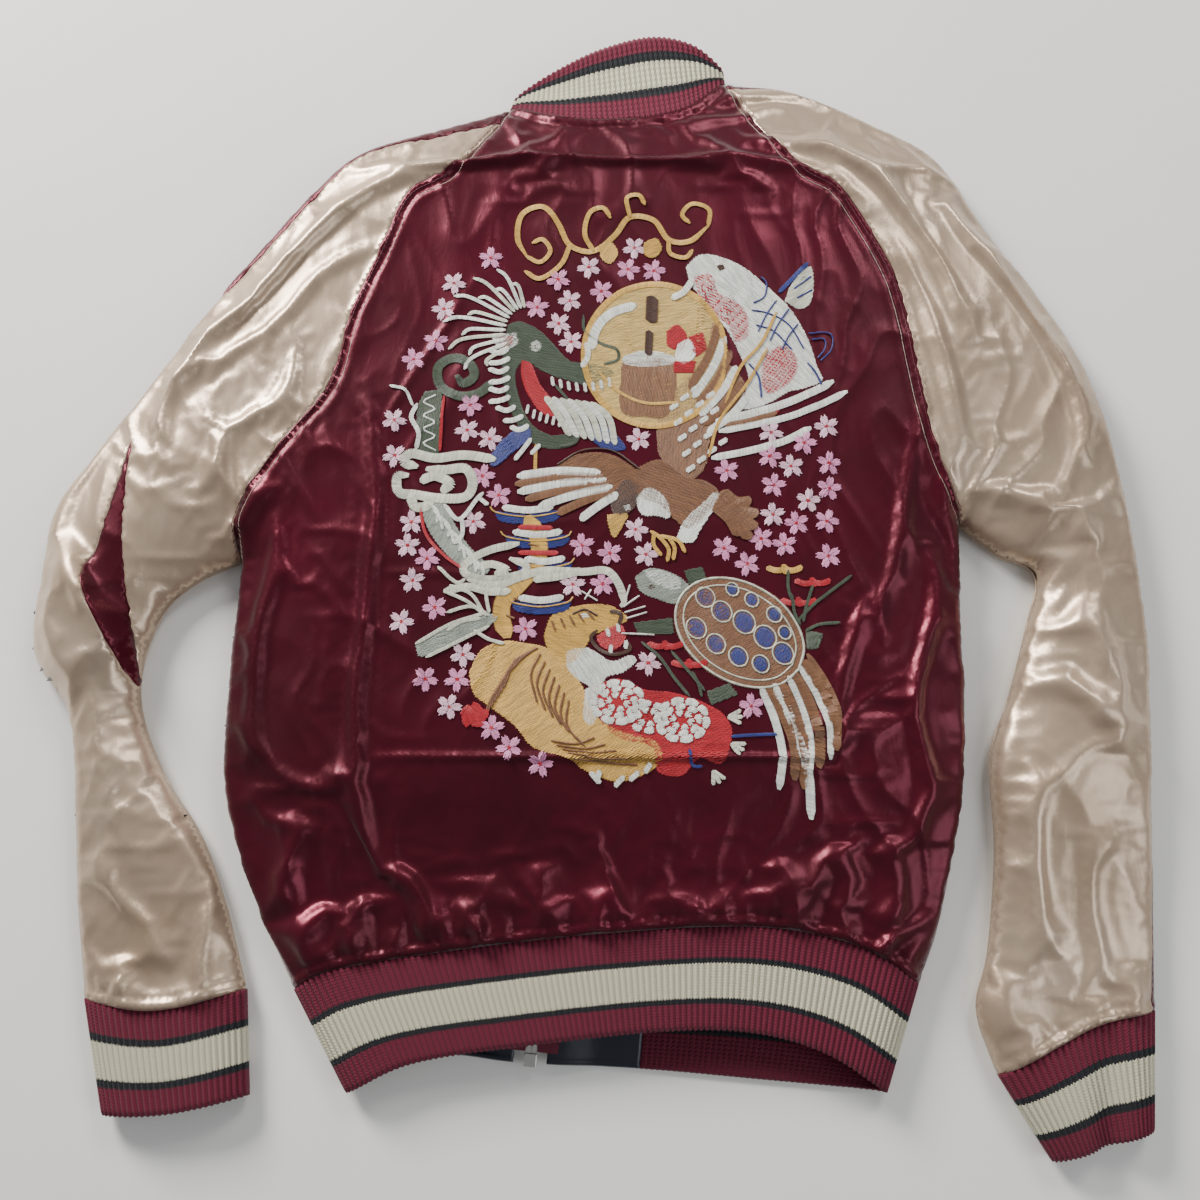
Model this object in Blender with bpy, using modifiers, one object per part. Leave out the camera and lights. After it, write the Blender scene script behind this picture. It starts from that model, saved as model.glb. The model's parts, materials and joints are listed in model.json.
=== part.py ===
"""Embroidered satin bomber jacket, zipped up and laid flat on its front with its back upwards.

Plan sizes are in millimetres in the jacket's own frame: X to the wearer's right, Y towards the
collar, Z up from the surface that it lies on. The origin is under the middle of the whole outline.
The cloth is built as two layers that meet along folds: a top layer that domes up from the folds,
and a bottom layer that lies on the surface.
"""

import math

import bmesh
import bpy
import numpy as np

MM = 0.001

# ---- Grading of the whole pattern, as when the next size is cut ----
GRADE_ACROSS = 1.0
GRADE_ALONG = 1.0


def graded(points):
    """Plan points of the drafted size, moved to the size that is cut."""
    return [(x * GRADE_ACROSS, y * GRADE_ALONG) for x, y in points]


# ---- Cloth thicknesses and clearances, in millimetres ----
SHELL = 1.2  # satin with its interlining
RIB = 2.2  # doubled knitted rib
LINING = 0.8
EMBROIDERY = 0.9
TAPE = 0.6
LABEL = 0.5
GAP = 0.4  # between pieces that lie on each other
FOLD_GAP = 0.9  # between the edges of the two layers where they meet at a fold
SEAM_GAP = 0.9  # between panels that are sewn edge to edge, in plan

# ---- How the two layers stand off the surface ----
FOLD_HEIGHT = 8.0  # height of the side folds
BODY_RISE = 26.0  # how far the top layer domes above the folds
RIB_RISE = 12.0  # the same at the ribbed hem and cuffs
COLLAR_RISE = 13.0  # the same at the collar
BODY_SPREAD = 60.0  # plan distance over which the body's dome rises
RIB_SPREAD = 26.0
BOTTOM_SPREAD = 18.0  # plan distance over which the bottom layer reaches the surface
RIB_ZONE = (-250.0 * GRADE_ALONG, -130.0 * GRADE_ALONG)  # Y over which the rise goes from the rib's to the body's
COLLAR_ZONE = (255.0 * GRADE_ALONG, 330.0 * GRADE_ALONG)  # Y over which it falls to the collar's
LINING_INSET = 6.0  # the lining hangs this far inside the folds
LINING_DROP = 4.0  # and this far below the top layer
LINING_FLOOR = 4.8  # height of the front lining's lower side, above the pocket bags
STRIPE_TOP = 0.10  # share of the sleeve's width that the stripe covers on the top layer
STRIPE_BOTTOM = 0.20
HEM_TABS = {"left": 46.0, "right": 56.0}  # lengths of the satin ends of the hem

# ---- Zip, in its own frame: Y along the chain from the hem, X across ----
ZIP_HEM, ZIP_NECK = graded([(-36.0, -317.0), (18.0, 232.0)])
ZIP_HEIGHT = 6.6  # middle of the chain above the surface
CHAIN_THICK = 2.4
TOOTH_TIP = 0.6  # nearest part of a tooth to the chain's middle line
TOOTH_ROOT = 1.9
TOOTH_BACK = 3.1
TOOTH_PITCH = 5.0
TAPE_WIDTH = 12.6
BOX_LENGTH = 8.0
BOX_WIDTH = 7.2
BOX_WALL = 0.7
PIN_LENGTH = 17.0
STOP_LENGTH = 4.0
SLIDER_LENGTH = 14.0
SLIDER_HALF_WIDTH = 5.4
SLIDER_PLATE = 0.9
SLIDER_LIP = 1.0
CHAIN_CLEAR = 0.55  # between the chain and the slider's plates
BRIDGE_WIRE = 0.5  # radius of the bridge that holds the pull
BRIDGE_DROP = 2.7
PULL_LENGTH = 34.0
PULL_WIDTH = 7.0
PULL_THICK = 1.0
PULL_EYE = (2.8, 12.0)  # width and length of the hole round the bridge
PANEL_TO_ZIP = 10.0  # the front panels end this far from the chain's middle line
ZIP_RISE = 4.3  # how far the front panels rise to the zip tape
ZIP_RISE_ZONE = (15.0, 42.0)

# ---- Pockets and trims ----
WELT_SIZE = (22.0, 138.0)
WELT_LEAN = 16.0  # degrees from the zip's direction
WELT_FROM_ZIP = 112.0
WELT_Y = -96.0 * GRADE_ALONG
POCKET_SPAN = (68.0, 160.0)  # the bag's edges, from the zip
POCKET_LENGTH = 176.0
POCKET_THICK = 2.0
SIZE_LABEL = ((18.0, 254.0), (60.0, 24.0))  # middle in the drafted size, and size
CARE_LABEL = ((-200.0, -148.0), (32.0, 56.0))
HANGER_LOOP = ((18.0, 284.0), 52.0)  # middle, and width

# ---- Seams in plan, each from the first corner that it joins to the last ----
NECK_L, NECK_R = (-57, 318), (94, 338)
ARMPIT_L, ARMPIT_R = (-225, -8), (239, 16)
HEM_L, HEM_R = (-178, -272), (198, -269)
HEM_CORNER_L, HEM_CORNER_R = (-144, -331), (176, -331)
CUFF_L_OUT, CUFF_L_IN = (-304, -277), (-207, -272)
CUFF_L_END_OUT, CUFF_L_END_IN = (-288, -343), (-202, -332)
CUFF_R_OUT, CUFF_R_IN = (339, -284), (242, -321)
CUFF_R_END_OUT, CUFF_R_END_IN = (332, -352), (271, -369)
COLLAR_CORNER_L, COLLAR_CORNER_R = (-54, 326), (93, 349)
SEAM_POINTS = {
    "raglan_l": [NECK_L, (-68, 295), (-94, 254), (-119, 238), (-134, 202), (-154, 150), (-166, 104),
                 (-194, 66), (-222, 22), ARMPIT_L],
    "raglan_r": [NECK_R, (112, 298), (138, 259), (164, 240), (190, 194), (201, 160), (208, 115),
                 (217, 66), (232, 30), ARMPIT_R],
    "side_l": [HEM_L, (-204, -221), (-220, -180), (-228, -140), (-228, -70), ARMPIT_L],
    "side_r": [HEM_R, (213, -231), (229, -165), (236, -100), (236, -40), ARMPIT_R],
    "outer_l": [NECK_L, (-105, 302), (-160, 281), (-200, 240), (-244, 184), (-280, 128), (-310, 84),
                (-344, 32), (-352, -12), (-354, -67), (-328, -108), (-319, -170), (-313, -222), CUFF_L_OUT],
    "outer_r": [NECK_R, (140, 331), (203, 299), (237, 276), (268, 225), (303, 174), (330, 118),
                (347, 35), (354, -52), (351, -110), (346, -190), CUFF_R_OUT],
    "inner_l": [ARMPIT_L, (-254, -22), (-275, -44), (-285, -92), (-268, -140), (-241, -180),
                (-223, -221), CUFF_L_IN],
    "inner_r": [ARMPIT_R, (264, -4), (287, -16), (278, -52), (264, -96), (250, -134), (249, -190),
                (241, -250), (232, -284), CUFF_R_IN],
    "cuff_l": [CUFF_L_OUT, (-257, -283), CUFF_L_IN],
    "cuff_r": [CUFF_R_OUT, (304, -290), (276, -303), CUFF_R_IN],
    "cuff_end_l": [CUFF_L_END_OUT, (-246, -341), CUFF_L_END_IN],
    "cuff_end_r": [CUFF_R_END_OUT, (304, -359), CUFF_R_END_IN],
    "cuff_out_l": [CUFF_L_OUT, CUFF_L_END_OUT],
    "cuff_out_r": [CUFF_R_OUT, CUFF_R_END_OUT],
    "cuff_in_l": [CUFF_L_IN, CUFF_L_END_IN],
    "cuff_in_r": [CUFF_R_IN, CUFF_R_END_IN],
    "hem": [HEM_L, (-153, -260), (-84, -249), (6, -239), (99, -235), (160, -246), HEM_R],
    "hem_side_l": [HEM_L, HEM_CORNER_L],
    "hem_side_r": [HEM_R, HEM_CORNER_R],
    "hem_end_back": [HEM_CORNER_L, (-104, -313), (-35, -303), (45, -295), (97, -296), (140, -308), HEM_CORNER_R],
    "hem_end_front": [HEM_CORNER_L, (-104, -311), (-36, -315), (36, -319), (106, -325), HEM_CORNER_R],
    "back_neck": [NECK_L, (-22, 303), (20, 300), (62, 309), NECK_R],
    "front_neck_l": [NECK_L, (-44, 276), (-18, 244), (9, 234)],
    "front_neck_r": [NECK_R, (76, 280), (50, 246), (28, 234)],
    "collar_side_l": [NECK_L, COLLAR_CORNER_L],
    "collar_side_r": [NECK_R, COLLAR_CORNER_R],
    "collar_end_back": [COLLAR_CORNER_L, (-22, 344), (8, 359), (41, 368), (70, 364), COLLAR_CORNER_R],
    "collar_end_l": [COLLAR_CORNER_L, (-30, 304), (-8, 286), (11, 281)],
    "collar_end_r": [COLLAR_CORNER_R, (66, 310), (44, 288), (27, 281)],
}
SEAM_POINTS = {name: graded(points) for name, points in SEAM_POINTS.items()}
FOLD_NAMES = ("side_l", "side_r", "outer_l", "outer_r", "inner_l", "inner_r", "cuff_out_l", "cuff_out_r",
              "cuff_in_l", "cuff_in_r", "hem_side_l", "hem_side_r", "collar_side_l", "collar_side_r")

# ---- Embroidered motifs on the back: smooth closed outlines in plan ----
MOTIFS = {
    "embroidered_scroll": [(-57, 206), (-40, 234), (10, 226), (74, 222), (60, 200), (10, 190), (-40, 182)],
    "embroidered_moon": [(92, 114), (78, 148), (46, 160), (14, 148), (1, 114), (14, 80), (44, 68), (76, 80)],
    "embroidered_carp": [(76, 186), (98, 196), (128, 176), (150, 140), (158, 106), (146, 88), (126, 94),
                         (112, 116), (104, 146), (86, 168)],
    "embroidered_hawk": [(-40, 26), (0, 52), (44, 48), (78, 60), (104, 66), (160, 78), (116, 40), (112, 4),
                         (70, -8), (26, 4)],
    "embroidered_dragon": [(-100, 158), (-62, 166), (-26, 140), (-14, 104), (-28, 68), (-66, 54), (-96, 20),
                           (-104, -26), (-122, 6), (-128, 60), (-118, 110)],
    "embroidered_tiger": [(-66, -56), (-30, -46), (6, -40), (26, -50), (20, -84), (10, -120), (-10, -144),
                          (-40, -132), (-70, -92)],
    "embroidered_turtle": [(42, -26), (70, -20), (104, -24), (132, -46), (148, -96), (138, -160), (120, -140),
                           (108, -92), (74, -70)],
    "embroidered_peonies": [(34, -92), (62, -84), (92, -98), (96, -130), (72, -148), (44, -134), (28, -112)],
}

MOTIFS = {name: graded(points) for name, points in MOTIFS.items()}

MAROON = (0.16, 0.012, 0.035)
CHAMPAGNE = (0.56, 0.46, 0.37)
KNIT_RED = (0.21, 0.01, 0.04)
NAVY = (0.012, 0.014, 0.022)
GOLD_THREAD = (0.62, 0.37, 0.09)
NICKEL = (0.55, 0.54, 0.52)
LABEL_WHITE = (0.75, 0.73, 0.68)


# ---------------------------------------------------------------- curves in plan


def smooth(points, steps=16):
    """The smooth curve through points, as a dense polyline."""
    p = np.array(points, float)
    ends = np.vstack([2 * p[0] - p[1], p, 2 * p[-1] - p[-2]])
    t = np.linspace(0, 1, steps, endpoint=False)[:, None]
    spans = []
    for a, b, c, d in zip(ends, ends[1:], ends[2:], ends[3:]):
        bend = (2 * a - 5 * b + 4 * c - d) * t**2 + (3 * b - a - 3 * c + d) * t**3
        spans.append(0.5 * (2 * b + (c - a) * t + bend))
    return np.vstack([*spans, p[-1:]])


SEAM = {name: smooth(points) for name, points in SEAM_POINTS.items()}
FOLDS = [SEAM[name] for name in FOLD_NAMES]


def walked(line):
    """The length along a polyline at each of its points."""
    return np.concatenate([[0], np.cumsum(np.linalg.norm(np.diff(line, axis=0), axis=1))])


def along(line, shares):
    """The points at these shares of a polyline's length."""
    length = walked(line)
    at = np.asarray(shares, float) * length[-1]
    return np.stack([np.interp(at, length, line[:, k]) for k in range(2)], axis=1)


def trimmed(line, start, end=0.0):
    """A polyline with these lengths cut from its two ends."""
    length = walked(line)
    kept = line[(length > start + 0.01) & (length < length[-1] - end - 0.01)]
    first, last = along(line, [start / length[-1], 1 - end / length[-1]])
    return np.vstack([first, kept, last])


def shifted(line, distance):
    """A polyline moved sideways, to the right of its direction."""
    way = np.gradient(line, axis=0)
    way /= np.linalg.norm(way, axis=1)[:, None]
    return line + distance * np.stack([way[:, 1], -way[:, 0]], axis=1)


def eased(count, first=0.0, last=1.0):
    """Shares from first to last, closer together at both ends."""
    return first + (last - first) * (1 - np.cos(np.pi * np.linspace(0, 1, count))) / 2


def patch(left, right, bottom, top, us, vs):
    """Grid of plan points between four sampled edges: rows run from bottom to top, columns from left to right.

    left and right have a point for each of vs, bottom and top one for each of us.
    """
    u, v = np.asarray(us, float)[:, None], np.asarray(vs, float)[:, None, None]
    bent_low = bottom - (1 - u) * bottom[0] - u * bottom[-1]
    bent_high = top - (1 - u) * top[0] - u * top[-1]
    straight = (1 - u) * left[:, None] + u * right[:, None]
    return straight + (1 - v) * bent_low + v * bent_high


# ---------------------------------------------------------------- the two layers in space


def smoothstep(low, high, x):
    t = np.clip((x - low) / (high - low), 0, 1)
    return t * t * (3 - 2 * t)


def fold_distance(plan):
    """Plan distance of each point from the nearest fold."""
    nearest = np.full(len(plan), 1e9)
    for fold in FOLDS:
        start, run = fold[:-1], np.diff(fold, axis=0)
        share = ((plan[:, None] - start) * run).sum(2) / np.maximum((run * run).sum(1), 1e-9)
        foot = start + np.clip(share, 0, 1)[..., None] * run
        nearest = np.minimum(nearest, np.linalg.norm(plan[:, None] - foot, axis=2).min(1))
    return nearest


def bulge(distance, spread):
    """A quarter of an ellipse: 0 at the fold, 1 from spread onwards."""
    t = np.clip(np.asarray(distance) / spread, 0, 1)
    return np.sqrt(np.maximum(1 - (1 - t) ** 2, 0))


ZIP_WAY = np.subtract(ZIP_NECK, ZIP_HEM) / np.linalg.norm(np.subtract(ZIP_NECK, ZIP_HEM))
ZIP_ACROSS = np.array([ZIP_WAY[1], -ZIP_WAY[0]])


def top_height(plan, inset=0.0):
    """Height of the top layer, or of the lining under it when there's an inset."""
    rib = 1 - smoothstep(*RIB_ZONE, plan[:, 1])
    collar = smoothstep(*COLLAR_ZONE, plan[:, 1])
    rise = BODY_RISE + (RIB_RISE - BODY_RISE) * rib + (COLLAR_RISE - BODY_RISE) * collar
    spread = BODY_SPREAD + (RIB_SPREAD - BODY_SPREAD) * rib
    if inset:
        rise = rise - LINING_DROP
    return FOLD_HEIGHT + FOLD_GAP / 2 + rise * bulge(np.maximum(fold_distance(plan) - inset, 0), spread)


def bottom_height(plan, inset=0.0):
    """Height of the bottom layer's outer side, or of the lining above it when there's an inset."""
    inside = np.maximum(fold_distance(plan) - inset, 0)
    floor = LINING_FLOOR if inset else 0.0
    top = FOLD_HEIGHT - FOLD_GAP / 2
    rise = ZIP_RISE * (1 - smoothstep(*ZIP_RISE_ZONE, np.abs((plan - ZIP_HEM) @ ZIP_ACROSS)))
    return top - (top - floor) * bulge(inside, BOTTOM_SPREAD) + rise * bulge(inside, BOTTOM_SPREAD)


def draped(grid, height, inset=0.0):
    """A plan grid laid on one of the layers: the same grid with heights."""
    z = height(grid.reshape(-1, 2), inset=inset).reshape(*grid.shape[:2], 1)
    return np.concatenate([grid, z], axis=2)


def folded(*parts):
    """Draped parts side by side as one, with the columns where they meet on the folds."""
    for before, after in zip(parts, parts[1:]):
        after[:, 0] = before[:, -1] = (before[:, -1] + after[:, 0]) / 2
    return np.concatenate([parts[0], *[p[:, 1:] for p in parts[1:]]], axis=1)


def closed(surface):
    """A folded surface whose last column is moved onto its first, on the fold between them."""
    surface[:, 0] = surface[:, -1] = (surface[:, 0] + surface[:, -1]) / 2
    return surface


# ---------------------------------------------------------------- Blender objects


def clear_scene():
    for obj in list(bpy.data.objects):
        bpy.data.objects.remove(obj, do_unlink=True)


def material(name, colour, roughness, metallic=0.0):
    made = bpy.data.materials.new(name)
    made.use_nodes = True
    surface = made.node_tree.nodes["Principled BSDF"]
    surface.inputs["Base Color"].default_value = (*colour, 1.0)
    surface.inputs["Roughness"].default_value = roughness
    surface.inputs["Metallic"].default_value = metallic
    return made


def new_object(name, made, collection, finish, parent=None, smooth_shaded=False):
    """An object from a bmesh in millimetres."""
    bmesh.ops.scale(made, vec=(MM, MM, MM), verts=made.verts)
    mesh = bpy.data.meshes.new(name)
    made.to_mesh(mesh)
    made.free()
    mesh.materials.append(finish)
    if smooth_shaded:
        mesh.shade_smooth()
    obj = bpy.data.objects.new(name, mesh)
    collection.objects.link(obj)
    obj.parent = parent
    return obj


def cloth(name, surface, thickness, finish, collection, turned=False, ring=False):
    """A cloth panel: a grid through the surface's points, thickened away from its outer side.

    The grid's outer side is up where its columns run towards +X and its rows towards +Y, unless it's turned.
    """
    rows, columns, _ = surface.shape
    made = bmesh.new()
    bmesh.ops.create_grid(made, x_segments=columns - 1, y_segments=rows - 1, size=1)
    for vertex in made.verts:
        column = round((vertex.co.x + 1) / 2 * (columns - 1))
        row = round((vertex.co.y + 1) / 2 * (rows - 1))
        vertex.co = surface[row, column]
    if ring:
        bmesh.ops.remove_doubles(made, verts=made.verts, dist=0.001)
    if turned:
        bmesh.ops.reverse_faces(made, faces=made.faces)
    obj = new_object(name, made, collection, finish, smooth_shaded=True)
    wall = obj.modifiers.new("wall", "SOLIDIFY")
    wall.thickness = thickness * MM
    wall.offset = -1
    return obj


def prism(name, points, low, high, collection, finish, parent=None):
    """A flat outline extruded from one height to another."""
    made = bmesh.new()
    base = made.faces.new([made.verts.new((x, y, low)) for x, y in points])
    lifted = bmesh.ops.extrude_face_region(made, geom=[base])
    for vertex in [v for v in lifted["geom"] if isinstance(v, bmesh.types.BMVert)]:
        vertex.co.z = high
    bmesh.ops.recalc_face_normals(made, faces=made.faces)
    return new_object(name, made, collection, finish, parent)


def box(name, low, high, collection, finish, parent=None, bevel=0.0):
    """A block between two corners."""
    low, high = np.array(low, float), np.array(high, float)
    made = bmesh.new()
    bmesh.ops.create_cube(made, size=1)
    bmesh.ops.scale(made, vec=high - low, verts=made.verts)
    bmesh.ops.translate(made, vec=(low + high) / 2, verts=made.verts)
    obj = new_object(name, made, collection, finish, parent)
    if bevel:
        edge = obj.modifiers.new("edge", "BEVEL")
        edge.width = bevel * MM
        edge.segments = 2
    return obj


def wire(name, points, radius, collection, finish, parent=None):
    """A round wire along points."""
    curve = bpy.data.curves.new(name, "CURVE")
    curve.dimensions = "3D"
    curve.bevel_depth = radius * MM
    curve.bevel_resolution = 2
    curve.use_fill_caps = True
    line = curve.splines.new("POLY")
    line.points.add(len(points) - 1)
    for knot, (x, y, z) in zip(line.points, points):
        knot.co = (x * MM, y * MM, z * MM, 1)
    curve.materials.append(finish)
    obj = bpy.data.objects.new(name, curve)
    collection.objects.link(obj)
    obj.parent = parent
    return obj


def as_mesh(obj):
    """A curve object replaced by a mesh object with its caps welded, for a Boolean."""
    bpy.context.view_layer.update()
    mesh = bpy.data.meshes.new_from_object(obj.evaluated_get(bpy.context.evaluated_depsgraph_get()))
    welded = bmesh.new()
    welded.from_mesh(mesh)
    bmesh.ops.remove_doubles(welded, verts=welded.verts, dist=0.002 * MM)
    welded.to_mesh(mesh)
    welded.free()
    made = bpy.data.objects.new(obj.name, mesh)
    made.matrix_world = obj.matrix_world
    for collection in obj.users_collection:
        collection.objects.link(made)
    bpy.data.objects.remove(obj, do_unlink=True)
    return made


def boolean(obj, other, operation):
    change = obj.modifiers.new(operation.lower(), "BOOLEAN")
    change.operation = operation
    change.object = other
    other.hide_render = True
    other.display_type = "WIRE"


# ---------------------------------------------------------------- body panels

SIDE_ROWS = 9
AT_FOLD = 0.3  # the column next to a fold is this far from it, so that the two layers' edges are level
RAGLAN_SHARES = np.array([0, 0.003, 0.03, 0.06, STRIPE_TOP, 0.15, STRIPE_BOTTOM, 0.35, 0.5, 0.65, 0.8, 0.92, 0.975, 0.997, 1])


def body_side(end, side_shares=None):
    """The body's outline on one side from the hem to the neck, sampled so that its raglan points match the sleeve's."""
    side = along(SEAM[f"side_{end}"], np.linspace(0, 1, SIDE_ROWS) if side_shares is None else side_shares)
    raglan = along(SEAM[f"raglan_{end}"], RAGLAN_SHARES)[::-1]
    return np.vstack([side, raglan[1:]])


def columns(count, width, both=True):
    """Eased shares across a body panel of this width, with a column close beside each fold."""
    near = AT_FOLD / width
    return np.concatenate([[0], eased(count, near, 1 - near if both else 1), [1] if both else []])


def body_rows():
    """The height of each row of the body as a share, the same for both sides."""
    middle = (body_side("l") + body_side("r")) / 2
    return walked(middle) / walked(middle)[-1]


def beside_zip(offset):
    """The straight line at this distance from the zip's middle line, from the hem seam to the neckline."""
    neck = np.array(ZIP_NECK) + ZIP_ACROSS * offset
    start = np.array(ZIP_HEM) + ZIP_ACROSS * offset
    for _ in range(4):
        seam_y = float(np.interp(start[0], SEAM["hem"][:, 0], SEAM["hem"][:, 1]))
        start = start + ZIP_WAY * (seam_y - start[1]) / ZIP_WAY[1]
    return np.array([start, neck])


def front_grid(side, us, inset=0.0):
    """Plan grid of one front panel, from its side seam and raglan to the zip."""
    end, sign = ("l", -1) if side == "left" else ("r", 1)
    vs = body_rows()
    beside = beside_zip(sign * PANEL_TO_ZIP)
    outer, near = body_side(end), along(beside, vs)
    hem = SEAM["hem"] if sign < 0 else SEAM["hem"][::-1]
    reached = hem[(hem[:, 0] - beside[0, 0]) * sign > 1]
    hem_line = along(np.vstack([reached, beside[:1]]), us)
    neck_line = along(SEAM[f"front_neck_{end}"], us)
    if inset:
        outer = inset_edge(outer, inset, sign)
    return patch(outer, near, hem_line, neck_line, us, vs)


def inset_edge(line, distance, sign):
    """A body outline moved inwards, with its two ends moved along the hem and the neck as well."""
    return shifted(line, -sign * distance) + np.linspace(1, -1, len(line))[:, None] * (0, distance)


def welt_frame(side):
    """The welt's middle in plan, and its turn in radians."""
    sign = -1 if side == "left" else 1
    middle = beside_zip(sign * WELT_FROM_ZIP)
    x = float(np.interp(WELT_Y, middle[:, 1], middle[:, 0]))
    return (x, WELT_Y), -sign * math.radians(WELT_LEAN) - math.atan2(ZIP_WAY[0], ZIP_WAY[1])


def at_welt(obj, side):
    (x, y), turn = welt_frame(side)
    obj.location = (x * MM, y * MM, 0)
    obj.rotation_euler.z = turn


def body_panels(jacket, cutters, satin):
    """The back in one piece, and the two fronts with a slit for each pocket welt."""
    us, vs = columns(14, ARMPIT_R[0] - ARMPIT_L[0]), body_rows()
    grid = patch(body_side("l"), body_side("r"), along(SEAM["hem"], us), along(SEAM["back_neck"], us), us, vs)
    cloth("back_panel", draped(grid, top_height), SHELL, satin, jacket)
    for side in ("left", "right"):
        grid = front_grid(side, columns(10, 220, both=False))
        panel = cloth(f"front_panel_{side}", draped(grid, bottom_height), SHELL, satin, jacket, side == "left")
        w, h = WELT_SIZE[0] / 2 + GAP, WELT_SIZE[1] / 2 + GAP
        slit = box(f"welt_slit_{side}", (-w, -h, -5), (w, h, 4), cutters, satin)
        at_welt(slit, side)
        boolean(panel, slit, "DIFFERENCE")


# ---------------------------------------------------------------- sleeves

SLEEVE_ROWS = 16


def sleeve_grid(end, across, inset=0.0, past_seam=1.3 * SEAM_GAP):
    """Plan grid of a sleeve: columns at these shares from the outer fold to the inner one, rows from raglan to cuff.

    Rows start in the raglan's shape, moved past the seam along both folds, and soon become straight. The
    inner fold's rows are closer together near the armpit, so that rows run square across the arm.
    """
    sign = -1 if end == "l" else 1
    vs = np.linspace(0, 1, SLEEVE_ROWS)
    outer = along(trimmed(SEAM[f"outer_{end}"], past_seam, inset), vs)
    inner = along(trimmed(SEAM[f"inner_{end}"], past_seam, inset), vs**2)
    if inset:
        outer, inner = shifted(outer, sign * inset), shifted(inner, -sign * inset)
    share = np.asarray(across)[:, None]
    raglan = along(SEAM[f"raglan_{end}"], RAGLAN_SHARES)
    raglan = np.stack([np.interp(across, RAGLAN_SHARES, raglan[:, k]) for k in range(2)], axis=1)
    cuff = along(SEAM[f"cuff_{end}"], across)
    bent = []
    for name, line in (("raglan", raglan), ("cuff", cuff)):
        first, last = SEAM[f"{name}_{end}"][[0, -1]]
        bent.append(line - (1 - share) * first - share * last)
    v = vs[:, None, None]
    straight = (1 - share) * outer[:, None] + share * inner[:, None]
    return straight + (1 - v) ** 3 * bent[0] + v**3 * bent[1]


def sleeves(jacket, champagne, maroon):
    """For each sleeve the back half, the front half, and the stripe that folds round the outer edge."""
    clear = 0.012
    upper = RAGLAN_SHARES[RAGLAN_SHARES > STRIPE_TOP + 0.001]
    for side, end in (("left", "l"), ("right", "r")):
        back = sleeve_grid(end, np.concatenate([[STRIPE_TOP + clear], upper]))
        cloth(f"sleeve_back_{side}", draped(back, top_height), SHELL, champagne, jacket, end == "l")
        lower = upper[upper > STRIPE_BOTTOM + 0.001]
        front = sleeve_grid(end, np.concatenate([[STRIPE_BOTTOM + clear], lower]))
        cloth(f"sleeve_front_{side}", draped(front, bottom_height), SHELL, champagne, jacket, end == "r")
        over = sleeve_grid(end, RAGLAN_SHARES[RAGLAN_SHARES < STRIPE_TOP + 0.001])[:, ::-1]
        under = sleeve_grid(end, RAGLAN_SHARES[RAGLAN_SHARES < STRIPE_BOTTOM + 0.001])
        stripe = folded(draped(over, top_height), draped(under, bottom_height))
        cloth(f"sleeve_stripe_{side}", stripe, SHELL, maroon, jacket, end == "r")


# ---------------------------------------------------------------- ribs


def between(seam, end, shares, rows, end_shares=None):
    """Plan grid from one sampled line to another, seam first."""
    a = along(seam, shares)[None]
    b = along(end, shares if end_shares is None else end_shares)[None]
    v = np.linspace(0, 1, rows)[:, None, None]
    return a * (1 - v) + b * v


def past_seam(name, side_a, side_b, away):
    """A seam moved away by the seam gap, with its ends on the two folds."""
    moved = shifted(SEAM[name], away * SEAM_GAP)
    share = np.linspace(0, 1, len(moved))[:, None]
    first, last = trimmed(SEAM[side_a], SEAM_GAP)[0], trimmed(SEAM[side_b], SEAM_GAP)[0]
    return moved + (1 - share) * (first - moved[0]) + share * (last - moved[-1])


def cuffs(jacket, knit):
    """Each a flat ring: over the top from the outer fold to the inner one, and back underneath."""
    for side, end, away in (("left", "l", 1), ("right", "r", -1)):
        seam = past_seam(f"cuff_{end}", f"cuff_out_{end}", f"cuff_in_{end}", away)
        over = between(seam, SEAM[f"cuff_end_{end}"], eased(11), 5)
        ring = closed(folded(draped(over, top_height), draped(over[:, ::-1], bottom_height)))
        cloth(f"cuff_{side}", ring, RIB, knit, jacket, end == "l", ring=True)


def share_at(line, x):
    """The share of a polyline's length where it reaches this X."""
    return float(np.interp(x, line[:, 0], walked(line) / walked(line)[-1]))


def hem_parts():
    """The hem's seam, past the gap, and its front and back ends."""
    seam = past_seam("hem", "hem_side_l", "hem_side_r", 1)
    return seam, SEAM["hem_end_front"], SEAM["hem_end_back"]


def hem_shares(offset):
    """Where the line at this distance from the zip crosses the hem's seam and its front end."""
    seam, front, _ = hem_parts()
    foot = np.array(ZIP_HEM) + ZIP_ACROSS * offset
    return share_at(seam, beside_zip(offset)[0][0]), share_at(front, foot[0])


def hem(jacket, knit, satin):
    """The rib from one satin end round the left fold, across the back and round to the other, and the two ends."""
    seam, front_end, back_end = hem_parts()
    left = hem_shares(-PANEL_TO_ZIP - HEM_TABS["left"] - SEAM_GAP)
    right = hem_shares(PANEL_TO_ZIP + HEM_TABS["right"] + SEAM_GAP)
    under_left = between(seam, front_end, eased(8, left[0], 0), 5, eased(8, left[1], 0))
    over = between(seam, back_end, eased(19), 5)
    under_right = between(seam, front_end, eased(8, 1, right[0]), 5, eased(8, 1, right[1]))
    rib = folded(draped(under_left, bottom_height), draped(over, top_height), draped(under_right, bottom_height))
    cloth("hem_rib", rib, RIB, knit, jacket, turned=True)
    for side, sign in (("left", -1), ("right", 1)):
        near, far = hem_shares(sign * PANEL_TO_ZIP), hem_shares(sign * (PANEL_TO_ZIP + HEM_TABS[side]))
        grid = between(seam, front_end, np.linspace(near[0], far[0], 6), 4, np.linspace(near[1], far[1], 6))
        cloth(f"hem_tab_{side}", draped(grid, bottom_height), SHELL, satin, jacket, side == "left")


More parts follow.
